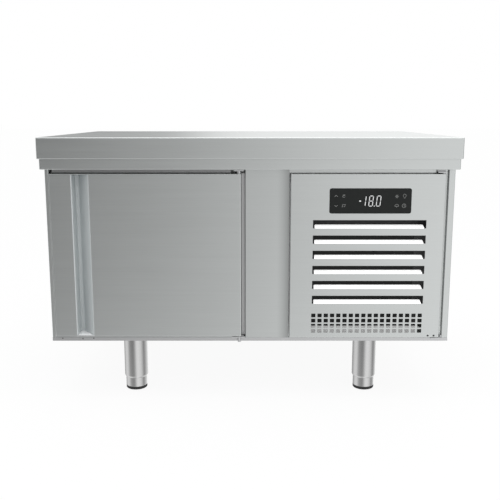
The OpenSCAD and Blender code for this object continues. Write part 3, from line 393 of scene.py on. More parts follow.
# %% Dress the solid model
FINISH = {
    "worktop_steel": steel_x, "body_steel": steel_x, "plain_steel": plain_steel,
    "leg_steel": leg_steel, "foam": foam, "black_plastic": black_plastic,
    "grey_plastic": grey_plastic, "display_black": display_black, "seal_grey": seal_grey,
    "foot_rubber": rubber, "copper": copper, "fin_aluminium": fin_aluminium,
    "coil_black": coil_black, "black_paint": black_paint, "motor_grey": motor_grey}
slot_of = {entry["node"]: entry["material_slot"] for entry in frame["record"]["subparts"]}
for name, solid in frame["nodes"].items():
    lining = name in ("inner_liner", "door_liner", "evaporator_cover")
    finish = liner_steel if lining else FINISH[slot_of[name]]
    solid.data.materials.clear()
    solid.data.materials.append(finish)
print("dressed nodes:", len(slot_of))

# %% [markdown]
# ## Surfaces from arrays
#
# Every new shape starts as a path whose corners are rounded, because bent steel has no sharp
# corner. The path is carried along a line, round a rectangle or round an axis, which gives a
# grid of points. Lengths are in millimetres, as in a workshop drawing, until the mesh is made.

# %% Rounded paths
def unit(vectors):
    """The vectors at length 1."""
    return vectors / np.maximum(np.linalg.norm(vectors, axis=-1, keepdims=True), 1e-12)


def rounded(corners, radius, steps=6, guard=0.4):
    """A path whose corners are arcs. An arc touches both of its sides at the distance
    radius / tan(half the corner's angle), its centre is on the line that halves the angle, and
    its points turn evenly from one touching point to the other. A guard point on each side
    keeps the shading of the flat parts flat. Where the radius is 0 the corner stays."""
    p = np.asarray(corners, float)
    r = np.broadcast_to(np.asarray(radius, float), len(p))[:, None]
    a = unit(np.roll(p, 1, 0) - p)
    b = unit(np.roll(p, -1, 0) - p)
    half = np.arccos(np.clip((a * b).sum(1, keepdims=True), -1, 1)) / 2
    half = np.clip(half, 1e-3, math.pi / 2 - 1e-6)
    reach = r / np.tan(half)
    turn = (math.pi - 2 * half)[:, None]
    centre = p + unit(a + b) * r / np.sin(half)
    first = (p + a * reach - centre)[:, None]
    last = (p + b * reach - centre)[:, None]
    k = np.linspace(0, 1, steps + 1)[None, :, None]
    blend = (np.sin((1 - k) * turn) * first + np.sin(k * turn) * last) / np.sin(turn)
    arcs = centre[:, None] + blend
    g = guard * (r > 0)
    before, after = (p + a * (reach + g))[:, None], (p + b * (reach + g))[:, None]
    return np.concatenate([before, arcs, after], 1).reshape(-1, p.shape[1])


def placed(first, second, third, axes):
    """Points from three arrays, which lie along the axes named by three letters, such as 'xzy'."""
    parts = dict(zip(axes, np.broadcast_arrays(first, second, third)))
    return np.stack([parts[letter] for letter in "xyz"], -1)


def sheet(points, around=False, along=False):
    """The four-sided faces of a grid of points. around joins its last row to the first, and
    along its last column to the first."""
    rows, columns = points.shape[:2]
    i = np.arange(rows * columns).reshape(rows, columns)
    if around:
        i = np.concatenate([i, i[:1]])
    if along:
        i = np.concatenate([i, i[:, :1]], 1)
    quads = np.stack([i[:-1, :-1], i[1:, :-1], i[1:, 1:], i[:-1, 1:]], -1).reshape(-1, 4)
    return points.reshape(-1, 3), quads


def lid(ring):
    """One flat face with the ring's points as its corners."""
    return ring, np.arange(len(ring))[None]


# %% [markdown]
# ## From arrays to a piece
#
# Patches that touch share their edge points only by place. Welding makes them one surface:
# points that agree to a thousandth of a millimetre become one, and faces that shrank to a
# line go. Solidify then gives a sheet its thickness, inwards from the outer face. It is
# applied, so that what is seen is a mesh. The vector facing says where the sheet's outer face
# looks.

# %% Weld patches
def weld(patches):
    """Joins patches of points and faces into one list of points and one of faces."""
    sizes = np.cumsum([0] + [len(points) for points, _ in patches])
    points = np.concatenate([points for points, _ in patches])
    _, first, index = np.unique(np.round(points, 3) + 0.0, axis=0, return_index=True,
                                return_inverse=True)
    index = index.reshape(-1)
    faces = []
    for (_, patch), offset in zip(patches, sizes):
        patch = index[np.asarray(patch) + offset]
        same = patch == np.roll(patch, -1, 1)
        for lost in np.unique(same.sum(1)):
            chosen = same.sum(1) == lost
            if patch.shape[1] - lost > 2:
                faces += patch[chosen][~same[chosen]].reshape(-1, patch.shape[1] - lost).tolist()
    return points[first], faces


# %% Build a piece
FRONT, BACK, UP, DOWN = (0, -1, 0), (0, 1, 0), (0, 0, 1), (0, 0, -1)
SHARP = math.radians(32)    # a crease steeper than this stays crisp
EVEN_FROM = 0.1             # thinner plates, in mm, get their thickness without corner mending
pieces = []


def piece(name, patches, finish, body="cabinet", thick=0, facing=None,
          replaces=None):
    """Makes a finished piece from patches in millimetres and hands it to its body."""
    points, faces = weld(patches)
    mesh = bpy.data.meshes.new(name)
    mesh.from_pydata((points / 1000).tolist(), [], faces)
    mesh.validate()
    work = bmesh.new()
    work.from_mesh(mesh)
    bmesh.ops.recalc_face_normals(work, faces=work.faces[:])
    if facing is not None:
        lean = sum(face.calc_area() * face.normal.dot(facing) for face in work.faces)
        if lean < 0:
            bmesh.ops.reverse_faces(work, faces=work.faces[:])
    work.to_mesh(mesh)
    work.free()
    obj = bpy.data.objects.new(name, mesh)
    bpy.context.collection.objects.link(obj)
    if thick:
        wall = obj.modifiers.new("wall", "SOLIDIFY")
        wall.thickness, wall.offset = thick / 1000, -1
        wall.use_even_offset = thick > EVEN_FROM
        shown = obj.evaluated_get(bpy.context.evaluated_depsgraph_get())
        obj.data = bpy.data.meshes.new_from_object(shown)
        obj.modifiers.clear()
    obj.data.polygons.foreach_set("use_smooth", np.ones(len(obj.data.polygons), bool))
    obj.data.set_sharp_from_angle(angle=SHARP)
    obj.data.materials.clear()
    obj.data.materials.append(finish)
    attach(obj, body)
    if replaces:
        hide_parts(replaces)
    pieces.append(obj)
    print(f"{name}: {len(obj.data.polygons)} faces")


def corners(node):
    """A node's lowest and highest corners in millimetres."""
    low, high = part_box(node)
    return np.array(low) * 1000, np.array(high) * 1000


# %% [markdown]
# ## The worktop
#
# The worktop is one sheet, folded down 50 mm all round and then in under its edge. Its folds
# have a radius of 2 mm, which catches a thin bright line along the front edge. The section is
# carried round the rectangle of the counter, and one flat face closes the middle.

# %% Round a rectangle
SHEET = 1.2    # thickness of the body's sheets in mm


def ring(low, high, section, radius, axes="xyz", steps=5):
    """A section of rows (inset, height) carried round a rectangle with rounded corners. At each
    inset the rectangle shrinks by it, and so does the radius of its corners."""
    (x0, y0), (x1, y1) = low, high
    rows = []
    for inset, height in section:
        box = [(x0 + inset, y0 + inset), (x1 - inset, y0 + inset), (x1 - inset, y1 - inset),
               (x0 + inset, y1 - inset)]
        loop = rounded(box, max(radius - inset, 0.0), steps)
        rows.append(placed(loop[:, 0], loop[:, 1], height, axes))
    return np.stack(rows, 1)


# %% The worktop and the band under it
low, high = corners("worktop")
edge_section = rounded([(30, high[2]), (0, high[2]), (0, low[2]), (25, low[2])], [0, 2.2, 2, 0])
top = ring(low[:2], high[:2], edge_section, 3.0)
piece("worktop_sheet", [sheet(top, around=True), lid(top[:, 0])], steel_x, thick=1.5, facing=UP,
      replaces="worktop")

low, high = corners("top_frame")
band_section = rounded([(0, high[2]), (0, low[2]), (30, low[2])], [0, 1.8, 0])
band = ring(low[:2], high[:2], band_section, 2.5)
piece("band_under_worktop", [sheet(band, around=True), lid(band[:, -1])], steel_x, thick=SHEET,
      facing=DOWN, replaces="top_frame")

# %% [markdown]
# ## Bent side sheets
#
# A side panel is one sheet as well: the flat side, a narrow fold seen from the front, and a
# return behind it. The bend is rounded, and the sheet's cut edges stay crisp. At the hinged
# edges of the door and of the machine panel a narrow stop stands behind the gap, so that the
# gap shows steel and not the dark inside. The rails above and below have such lips too. Their
# finishes hold painted light and shade: the door's stop and head lip are a darker steel, the
# panel's lips a near-white one, and the lower rail's lip glows.

# %% Bent sheets
STOP_X, STOP_Y = -20.5, -316.0      # end of the door's stop, front of all the stops
DOOR_FOOT, DOOR_HEAD = 164.5, 564.5
MULLION_X, FRAME_Y, FOLD_X = -12.0, -263.8, 474.0


def bent(path, radius, low, high, axes):
    """A flat section path with bend radii, drawn out from low to high along the third axis."""
    line = rounded(path, radius)
    ends = np.array([low, high], float)
    return sheet(placed(line[:, None, 0], line[:, None, 1], ends[None], axes))


def upright(name, path, radius, low_z, high_z, finish, thick=SHEET, facing=FRONT, replaces=None):
    """A piece bent along upright folds. Its path is seen from above."""
    piece(name, [bent(path, radius, low_z, high_z, "xyz")], finish, thick=thick, facing=facing,
          replaces=replaces)


# %% Side sheets, mullion and lips
low, high = corners("side_panel_left")
upright("left_side_sheet", [(low[0], high[1]), (low[0], low[1]), (high[0], low[1]),
                            (high[0], FRAME_Y)],
        [0, 2, 2, 0], low[2], high[2], steel_y, facing=(-1, 0, 0), replaces="side_panel_left")
low, high = corners("side_panel_right")
upright("right_side_sheet", [(high[0], high[1]), (high[0], low[1]), (FOLD_X, low[1]),
                             (FOLD_X, STOP_Y), (low[0], STOP_Y)],
        [0, 2, 2, 0.5, 0], low[2], high[2], steel_y, facing=(1, 0, 0),
        replaces="side_panel_right")
low, high = corners("mullion_cover")
upright("mullion_sheet", [(high[0], low[1]), (MULLION_X, low[1]), (MULLION_X, high[1])],
        [0, 2, 0], low[2], high[2], mullion_steel_painted_shade, replaces="mullion_cover")
# The door's stop has the darker steel: a painted shade in the gap.
upright("door_stop", [(MULLION_X, STOP_Y), (STOP_X, STOP_Y)], 0, DOOR_FOOT, DOOR_HEAD,
        gap_steel_painted_shade, replaces="mullion_cover")
# The door's head lip is a darker steel (painted shade). The panel's lips are a near-white steel,
# and the lower rail's lip has a painted glow (painted light).
# Each lip has its ends along X, its foot and head, its front and its finish.
for name, x0, x1, foot_z, head_z, y, finish in (
        ("door_head_lip", -474.0, -46.0, 566.0, 574.5, STOP_Y, gap_steel_painted_shade),
        ("panel_head_lip", 96.0, 440.0, 553.0, 573.5, STOP_Y - 1, steel_painted_light),
        ("panel_edge_lip", 94.5, 100.0, 162.0, 564.5, STOP_Y - 1, steel_painted_light),
        ("lower_rail_lip", 96.0, 414.0, 158.6, 187.0, STOP_Y - 1.7, rail_painted_glow)):
    upright(name, [(x0, y), (x1, y)], 0, foot_z, head_z, finish, thick=0.4)

# %% [markdown]
# ## Sheets with openings
#
# The machine panel is a shallow sheet-metal box: a face with six slots, a grid of square
# holes and a window for the display, and four edges bent back. Cutting such holes with
# booleans gives untidy meshes. Instead the face is a grid whose lines run along every edge of
# every opening: the cells inside an opening are left out, and small fans round its corners.

# %% A face with openings
def fineness(low, high, edges):
    """Sorted grid lines from low to high, with every edge in between."""
    lines = np.concatenate([[low, high], np.asarray(edges, float).ravel()])
    return np.unique(np.round(lines[(lines >= low) & (lines <= high)], 4))


def pierced(xs, zs, openings, depth, steps=5):
    """The cells of an upright grid that lie in none of the openings, and fans that fill the
    corners of each opening up to its radius. An opening is a row (x0, x1, z0, z1, radius)."""
    x, z = np.meshgrid(xs, zs, indexing="ij")
    points, quads = sheet(placed(x, z, depth, "xzy"))
    o = np.asarray(openings, float)
    cx, cz = (xs[:-1] + xs[1:]) / 2, (zs[:-1] + zs[1:]) / 2
    in_x = (cx[:, None] > o[:, 0]) & (cx[:, None] < o[:, 1])
    in_z = (cz[:, None] > o[:, 2]) & (cz[:, None] < o[:, 3])
    hole = (in_x[:, None] & in_z[None]).any(-1).ravel()
    patches = [(points, quads[~hole])]
    o = o[o[:, 4] > 0]
    if len(o):
        sx, sz = np.array([1, -1, -1, 1]), np.array([1, 1, -1, -1])
        corner_x = np.where(sx > 0, o[:, :1], o[:, 1:2])
        corner_z = np.where(sz > 0, o[:, 2:3], o[:, 3:4])
        r = o[:, 4:5]
        angle = np.linspace(0, math.pi / 2, steps + 1)
        arc_x = corner_x[..., None] + (sx * r)[..., None] * (1 - np.sin(angle))
        arc_z = corner_z[..., None] + (sz * r)[..., None] * (1 - np.cos(angle))
        px = np.concatenate([corner_x[..., None], arc_x], -1).reshape(-1)
        pz = np.concatenate([corner_z[..., None], arc_z], -1).reshape(-1)
        first = np.arange(0, len(px), steps + 2)[:, None]
        k = np.arange(1, steps + 1)[None]
        fans = np.stack(np.broadcast_arrays(first, first + k, first + k + 1), -1).reshape(-1, 3)
        patches.append((placed(px, pz, depth, "xzy"), fans))
    return patches


def opening_edges(openings):
    """The x and the z of every edge of the openings, and of the ends of their corners."""
    x0, x1, z0, z1, r = np.asarray(openings, float).T
    return np.concatenate([x0, x1, x0 + r, x1 - r]), np.concatenate([z0, z1, z0 + r, z1 - r])


# %% Four bent edges
def folded_front(low, high, bend, openings, marks_x=()):
    """A face at the front of the box with its openings, and its four edges bent back over the
    radius bend to the box's depth. The bent edges meet in mitres at the corners."""
    (x0, y0, z0), (x1, y1, z1) = low, high
    m = bend + 0.4
    edges_x, edges_z = opening_edges(openings)
    xs = fineness(x0 + m, x1 - m, np.concatenate([edges_x, marks_x]))
    zs = fineness(z0 + m, z1 - m, edges_z)
    section = rounded([(m, y0), (0, y0), (0, y1)], [0, bend, 0])
    d = section[:, :1]
    wide, tall = np.zeros_like(d) + xs, np.zeros_like(d) + zs
    x = np.concatenate([x0 + d, wide, x1 - d, x1 - d + 0 * tall, x1 - d, wide[:, ::-1], x0 + d,
                        x0 + d + 0 * tall], 1)
    z = np.concatenate([z0 + d, z0 + d + 0 * wide, z0 + d, tall, z1 - d, z1 - d + 0 * wide, z1 - d,
                        tall[:, ::-1]], 1)
    around = placed(x.T, z.T, section[None, :, 1], "xzy")
    return [sheet(around, around=True)] + pierced(xs, zs, openings, y0)


# %% [markdown]
# ## The machine panel
#
# Each slot is pierced on three sides and its flap is bent inwards and up from the lower edge,
# so that air can pass and a glance falls on bright steel. The flaps' brightness is partly a
# painted glow in their finish. The flap is a short arc and a straight part that start at the
# slot's own edge.

# %% The machine panel
PANEL_DEPTH = 13.0
SLOT_HEIGHT = 20.0
HOLE = (10.5, 9.4)    # width and height of a hole in the grid
SCREW_R = 2.5
low, high = corners("front_panel")
high[1] = low[1] + PANEL_DEPTH
slot_tops = 454.0 - 37.24 * np.arange(6)
slots = [(151.0, 422.5, top_z - SLOT_HEIGHT, top_z, 0.0) for top_z in slot_tops]
hole_x = 150.0 + 15.35 * np.arange(18)
hole_z = 222.8 - 13.07 * np.arange(4)
holes = [(x, x + HOLE[0], z - HOLE[1], z, 1.0) for x in hole_x for z in hole_z]
window = [(190.2, 384.4, 469.8, 530.4, 4.8)]
screw_holes = [(x - SCREW_R, x + SCREW_R, 164.2, 164.2 + 2 * SCREW_R, SCREW_R)
               for x in (438.0, 452.5)]
panel_front = folded_front(low, high, 1.6, slots + holes + window + screw_holes)
piece("slotted_panel", panel_front, steel_x, body="machine_panel", thick=SHEET, facing=FRONT,
      replaces="front_panel")


# %% The flaps in the slots
def flap(left, right, foot_z, turn=math.radians(66), radius=2.0, length=15.8, corner=3.5):
    """Along the flap, s is the way from its root. Up to radius times turn the section is an arc,
    and then a straight line at the angle turn. Near the tip both sides draw in along quarter
    circles: the inset is corner - sqrt(corner^2 - (s - length + corner)^2)."""
    arc = radius * turn
    s = np.concatenate([np.linspace(0, arc, 7), [arc + 0.4],
                        length - corner + corner * np.sin(np.linspace(0, math.pi / 2, 7))])
    a = np.minimum(s, arc) / radius
    straight = np.maximum(s - arc, 0)
    out = radius * (1 - np.cos(a)) + straight * math.sin(turn)
    up = radius * np.sin(a) + straight * math.cos(turn)
    past = np.maximum(s - length + corner, 0)
    inset = corner - np.sqrt(corner ** 2 - np.minimum(past, corner) ** 2) + 0.02 * s
    x = np.stack([left + inset, right - inset])
    return sheet(placed(x, foot_z + up[None], low[1] + out[None], "xzy"))


# Their finish glows: painted light.
flaps = [flap(155.3, 417.6, top_z - SLOT_HEIGHT) for top_z in slot_tops]
piece("slot_flaps", flaps, flap_painted_glow, body="machine_panel", thick=SHEET, facing=(0, -1, 1),
      replaces="front_panel")

# %% [markdown]
# ## The door and its finger grip
#
# The door has no handle: a deep groove is folded into its face near the free edge. Fingers
# reach round the folded edge, and the slanted face leads them in. The groove is a path seen
# from above, drawn up through the door, and a plate closes it at each end. Inside, the steel
# isn't polished: its finish is duller and scatters the light, so the groove stays pale. The
# lower plate faces up and has a near-white steel: painted light.

# %% The door's skin
GRIP_INSET, GRIP_DEPTH = 50.0, 40.0    # the grip's place from the door's free edge, its depth
GRIP_END = 2.4                         # steel left above and below the groove
ARC_STEPS = 8
low, high = corners("door_skin")
fold_x, face_y = low[0] + GRIP_INSET, low[1]
floor_y = face_y + GRIP_DEPTH
path = rounded([(fold_x - 3, face_y), (fold_x + 3.2, face_y), (fold_x + 3.2, floor_y),
                (fold_x + 12, floor_y), (fold_x + 43, face_y), (fold_x + 50, face_y)],
               [0, 2.2, 2, 4, 1.6, 0], ARC_STEPS)
outside = ARC_STEPS + 4    # points of the path before its first bend and after its last
path = path[outside:-outside]
mouth = (path[:, 0].min(), path[:, 0].max(), low[2] + GRIP_END, high[2] - GRIP_END, 0.0)
door_front = folded_front(low, high, 1.8, [mouth], marks_x=(mouth[0] - 0.5, mouth[1] + 0.5))
ends = np.array(mouth[2:4])
groove = sheet(placed(path[:, None, 0], path[:, None, 1], ends[None], "xyz"))
below, above = (lid(placed(path[:, 0], path[:, 1], z, "xyz")) for z in ends)
# The lower end plate, which faces up, has the near-white steel: painted light.
for name, patches, finish, facing, node in (
        ("door_sheet", door_front, steel_x, FRONT, "door_skin"),
        ("door_grip", [groove], grip_steel, FRONT, "door_skin"),
        ("grip_end_below", [below], steel_painted_light, UP, None),
        ("grip_end_above", [above], grip_steel, DOWN, None)):
    piece(name, patches, finish, body="door", thick=SHEET, facing=facing, replaces=node)

# %% [markdown]
# ## Behind the door
#
# The inner pan is a pressed sheet with a shallow bead, and the seal sits round it: a foot in
# the pan's edge and a soft bulb that meets the frame. Its corners are welded in mitres.

# %% The door's inner pan and seal
low, high = corners("door_liner")
y0, y1 = low[1], high[1]
bead = [(30, y1), (33, y1 - 1.2), (38, y1 - 1.2), (41, y1)]
pan_section = rounded([(0, y0), (3.8, y0), (3.8, y1), *bead, (60, y1)],
                      [0, 1, 3, 1.5, 1.5, 1.5, 1.5, 0], 4)
pan = ring(low[[0, 2]], high[[0, 2]], pan_section, 4.0, "xzy")
piece("door_inner_pan", [sheet(pan, around=True), lid(pan[:, -1])], liner_steel, body="door",
      thick=1.5, facing=BACK, replaces="door_liner")

low, high = corners("door_gasket")
seal_section = rounded([(0, 0), (0, 4), (3, 5.4), (3, 10), (13, 10), (13, 5.4), (16, 4), (16, 0)],
                       [0.5, 1, 0.8, 2.4, 2.4, 0.8, 1, 0.5], 4, 0.1) + (0, low[1])
seal = ring(low[[0, 2]], high[[0, 2]], seal_section, 0.0, "xzy")
piece("door_seal", [sheet(seal, around=True, along=True)], seal_grey, body="door",
      replaces="door_gasket")

# %% [markdown]
# ## The control glass
#
# A dark glass with rounded corners stands a little out of the panel. The digits are made of
# the usual seven bars, leaning to the right, and the symbols beside them are plain generic
# ones. All of them are thin plates on the glass.

# %% The glass
low, high = corners("display_glass")
face = low[1]
glass_section = rounded([(24, face), (0, face), (0, high[1]), (24, high[1])], [0, 0.6, 0.3, 0],
                        4, 0.3)
LEFT_ROOM, RIGHT_ROOM = 1, 2    # the visible glass is this much narrower than the solid
glass = ring(low[[0, 2]] + (LEFT_ROOM, 0), high[[0, 2]] - (RIGHT_ROOM, 0), glass_section, 4.5,
             "xzy", 6)
piece("control_glass", [sheet(glass, around=True), lid(glass[:, 0]), lid(glass[:, -1])],
      display_black, body="machine_panel", facing=FRONT,
      replaces="display_glass")

# %% The digits
BARS = {"a": ((0, 2), (1, 2)), "b": ((1, 2), (1, 1)), "c": ((1, 1), (1, 0)), "d": ((0, 0), (1, 0)),
        "e": ((0, 1), (0, 0)), "f": ((0, 2), (0, 1)), "g": ((0, 1), (1, 1))}
FIGURES = {"8": "abcdefg", "0": "abcdef", "1": "bc"}


def bar(start_point, end_point, width=1.8, gap=0.7):
    """A bar of six corners between two points: a rectangle with a point at each end."""
    p, q = np.asarray(start_point, float), np.asarray(end_point, float)
    along = unit(q - p)
    side = np.array([-along[1], along[0]]) * width / 2
    p, q = p + along * gap, q - along * gap
    tip = along * width / 2
    return np.array([p, p + tip + side, q - tip + side, q, q - tip - side, p + tip - side])


def leaning(outline, foot_z, lean=0.105):
    """Leans an outline to the right by its height above the foot."""
    return np.stack([outline[:, 0] + (outline[:, 1] - foot_z) * lean, outline[:, 1]], -1)


def circle(x, z, r, start=0.0, turn=2 * math.pi, steps=24):
    """Points round a centre, over the angle turn from the angle start on."""
    a = np.linspace(start, start + turn, steps, endpoint=turn < 2 * math.pi)
    return np.stack([x + r * np.cos(a), z + r * np.sin(a)], -1)


print_y = face - 0.06    # digits and symbols stand just in front of the glass
foot, half_height, width = 487.9, 12.1, 8.9
bars = []
for figure, x in (("1", 265.2), ("8", 282.6), ("0", 300.6)):
    for letter in FIGURES[figure]:
        p, q = (np.array(point) * (width, half_height) + (x, foot) for point in BARS[letter])
        bars.append(leaning(bar(p, q), foot))
bars.append(leaning(bar((259.4, 499.9), (265.2, 499.9), 2.6, 0.0), 499.9))
bars.append(circle(296.2, 488.1, 1.3, steps=12))
piece("readout", [lid(placed(o[:, 0], o[:, 1], print_y, "xzy")) for o in bars], readout_white,
      body="machine_panel", thick=0.05, facing=FRONT)


# %% The printed symbols
def stroke(path, width=0.9, closed=False):
    """A flat band along a path: each point is moved to both sides, square to the path."""
    p = np.asarray(path, float)
    ahead = np.roll(p, -1, 0) - np.roll(p, 1, 0) if closed else np.gradient(p, axis=0)
    side = unit(np.stack([-ahead[:, 1], ahead[:, 0]], -1)) * width / 2
    band = np.stack([p - side, p + side], 1)
    return sheet(placed(band[..., 0], band[..., 1], print_y, "xzy"), around=closed)


def line(points):
    """A broken line whose inner corners are slightly rounded."""
    inner = np.ones(len(points))
    inner[[0, -1]] = 0
    return rounded(points, 0.3 * inner, 3, 0.05)


# Eight generic marks: two arrow heads, a lamp, a slanted field, a frost star, a drop, a fan's
# hood and a timer. They are broken lines, arcs (centre, radius, first angle, turn) and circles.
STAR = (349.6, 511.1)
LINES = [[(201.4, 510.4), (205.0, 514.0), (208.6, 510.4)],
         [(201.4, 490.0), (205.0, 486.6), (208.6, 490.0)],
         [(220.6, 514.6), (226.4, 514.6)],
         [(221.6, 486.2), (219.4, 486.2), (221.2, 491.8), (227.6, 491.8), (225.4, 486.2),
          (223.6, 486.2)],
         [(365.4, 510.4), (368.0, 506.2), (370.6, 510.4)],
         [(349.8, 487.2), (349.8, 484.2)], [(345.2, 487.4), (354.4, 487.4)],
         [(367.2, 491.6), (367.2, 488.8), (369.4, 487.0)]]
ARCS = [(223.4, 511.4, 2.6, 0.5, 5.3), (367.9, 512.9, 3.6, -0.9, 5.0),
        (349.8, 487.2, 4.9, 0.15, 2.85)]
CIRCLES = [(367.2, 488.8, 4.4), (*STAR, 2.6)]
marks = [stroke(line(points)) for points in LINES] + [stroke(circle(*arc)) for arc in ARCS]
marks += [stroke(circle(*values), closed=True) for values in CIRCLES]
for angle in np.radians([0, 60, 120]):
    reach = 4.6 * np.array([math.cos(angle), math.sin(angle)])
    marks.append(stroke([STAR - reach, STAR, STAR + reach]))
piece("display_symbols", marks, symbol_grey, body="machine_panel",
      thick=0.04, facing=FRONT)

# %% [markdown]
# ## Legs and feet
#
# Turned parts are a section spun round an axis. A leg is a tube with a rolled lower edge. Its
# foot slides in it: a steel sleeve with a rubber tip that is rounded where it meets the floor.

# %% Turned parts
ORDER = {"z": "xyz", "y": "zxy", "x": "yzx"}    # the axes of a turn, the turn's own axis last


def spun(section, centre=(0, 0, 0), axis="z", steps=64):
    """Rows (radius, height) spun round an axis through the centre. Where the radius is 0 the
    points meet in a pole, which welding closes."""
    s = np.asarray(section, float)
    a = np.linspace(0, 2 * math.pi, steps, endpoint=False)[:, None]
    u, v, w = s[None, :, 0] * np.cos(a), s[None, :, 0] * np.sin(a), s[None, :, 1] + 0 * a
    return sheet(placed(u, v, w, ORDER[axis]) + np.asarray(centre, float), around=True)


# %% Legs and feet
LEG_X, LEG_Y = {"left": -297.0, "right": 297.0}, {"front": -243.0, "back": 265.0}
tube_section = rounded([(6.2, 146), (6.2, 150), (30, 150), (30, 36), (27.8, 32), (27.1, 32.4),
                        (27.1, 146), (6.2, 146)], [0, 0, 0.6, 6, 0.8, 0.2, 0.5, 0], 5, 0.3)
sleeve_section = rounded([(0, 8), (27, 8), (27, 80), (24, 80), (24, 14), (0, 14)],
                         [0, 0.8, 1, 1, 2, 0], 5, 0.3)
tip_section = rounded([(0, 0), (27, 0), (27, 8), (0, 8)], [0, 3, 0.6, 0], 6, 0.3)
piece("leg_tubes_turned", [spun(tube_section, (x, y, 0)) for x in LEG_X.values()
                           for y in LEG_Y.values()],
      leg_steel, replaces="leg_tubes")
for side, x in LEG_X.items():
    for end, y in LEG_Y.items():
        foot = f"{end}_{side}"
        piece(f"foot_sleeve_{foot}", [spun(sleeve_section, (x, y, 0))], leg_steel,
              body=f"foot_{foot}", replaces=f"foot_insert_{foot}")
        piece(f"foot_rubber_{foot}", [spun(tip_section, (x, y, 0))], rubber,
              body=f"foot_{foot}", replaces=f"foot_tip_{foot}")

# %% [markdown]
# ## The back sheet
#
# The back is a flat sheet with vents behind the compressor and a hole for the cable gland.
# Behind each vent a louvre slants down from the upper edge and hides the dark compartment.
# Blind rivets hold the sheet to the side panels. A rivet's head is a low dome, spun like a
# leg. The lower rail in front has three small screw holes at its left, where it is screwed
# to the frame. Each is a thin black disc: a painted shade for the dark inside the hole.

# %% The back sheet
low, high = corners("back_panel")
back_y = high[1]
vents = [(244.25, 334.25, z, z + 6.0, 2.9) for z in 271.2 + 16.0 * np.arange(10)]
gland_hole = (418.8, 438.8, 200.0, 220.0, 10.0)
edges_x, edges_z = opening_edges(vents + [gland_hole])
back = pierced(fineness(low[0], high[0], edges_x), fineness(low[2], high[2], edges_z),
               vents + [gland_hole], back_y)
piece("back_sheet", back, steel_y, thick=SHEET, facing=BACK,
      replaces="back_panel")
louvre = rounded([(back_y - SHEET, 6.6), (back_y - 5.2, 6.6), (back_y - 12.0, -1.5)],
                 [0, 2.5, 0], 4)[None]
louvres = [sheet(placed([[243.0], [335.6]], louvre[..., 0], vent[2] + louvre[..., 1], "xyz"))
           for vent in vents]
piece("back_louvres", louvres, plain_steel, thick=0.8, facing=BACK)

# %% Rivets and sockets
head = rounded([(0, 1.3), (2.2, 1.1), (3.4, 0), (0, -0.3)], [0, 1.2, 0.3, 0], 3, 0.05)
places = [(x, z) for x in np.linspace(-478, 478, 7) for z in (163.0, 563.0)]
places += [(x, z) for x in (-478.0, 478.0) for z in (263.0, 363.0, 463.0)]
piece("back_rivets", [spun(head, (x, back_y, z), "y", 16) for x, z in places], plain_steel)

rail_y = corners("base_pan")[0][1]
# Thin black discs that stand for the shade in the rail's screw holes: painted shade.
hole_shade_disc = rounded([(0, 0.25), (1.0, 0.25), (1.5, 0), (0, 0)], [0, 0.1, 0, 0], 2, 0.02)
piece("rail_hole_shade_discs", [spun(hole_shade_disc * (1, -1), (x, rail_y, z), "y", 16)
                       for x, z in ((-464.8, 156.4), (-414.7, 155.6), (-387.8, 156.4))],
      black_plastic)

# %% [markdown]
# ## Wires and pipes
#
# The shelf is welded wire and the cooling circuit is bent copper pipe. Both are a circle
# carried along a rounded path. The circle stands square to the path, turned by a fixed slanted
# direction that no wire or pipe follows, so that it never flips over.

# %% Tubes along a path
def tube(path, radius, sides=12, closed=False):
    """A circle carried along a path. At each point it lies in the plane of two directions that
    are square to the path: the path crossed with a fixed slanted line, and the path crossed
    with that."""
    p = np.asarray(path, float)
    p = p[np.concatenate([[True], np.linalg.norm(np.diff(p, axis=0), axis=1) > 1e-4])]
    ahead = unit(np.roll(p, -1, 0) - np.roll(p, 1, 0) if closed else np.gradient(p, axis=0))
    side = unit(np.cross(ahead, (0.36, 0.48, 0.8)))
    upward = np.cross(ahead, side)
    a = np.linspace(0, 2 * math.pi, sides, endpoint=False)[None, :, None]
    hoop = p[:, None] + radius * (side[:, None] * np.cos(a) + upward[:, None] * np.sin(a))
    walls = sheet(hoop, around=closed, along=True)
    return [walls] if closed else [walls, lid(hoop[0]), lid(hoop[-1])]


def bent_pipe(points, diameter, bend=12.0):
    """A pipe through points, with bends that leave a straight bit in the middle of each run."""
    p = np.asarray(points, float)
    runs = np.linalg.norm(np.diff(p, axis=0), axis=1)
    room = 0.45 * np.minimum(runs[:-1], runs[1:])
    radius = np.concatenate([[0], np.minimum(bend, room), [0]])
    return tube(rounded(p, radius, 6, 0.2), diameter / 2, 14)


# %% The shelf and the pipes
low, high = corners("wire_shelf")
frame_r = 3.0
x0, y0, x1, y1 = low[0] + frame_r, low[1] + frame_r, high[0] - frame_r, high[1] - frame_r
z = (low[2] + high[2]) / 2
loop = rounded([(x0, y0, z), (x1, y0, z), (x1, y1, z), (x0, y1, z)], 14.0, 6, 1.0)
wires = tube(loop, frame_r, closed=True)
for x in np.linspace(x0, x1, 15)[1:-1]:
    wires += tube([(x, y0, z), (x, (y0 + y1) / 2, z), (x, y1, z)], 1.75, 8)
for y in np.linspace(y0, y1, 4)[1:-1]:
    wires += tube([(x0, y, z - 1), (0.5 * (x0 + x1), y, z - 1), (x1, y, z - 1)], 2.0, 10)
piece("shelf_wires", wires, liner_steel, replaces="wire_shelf")

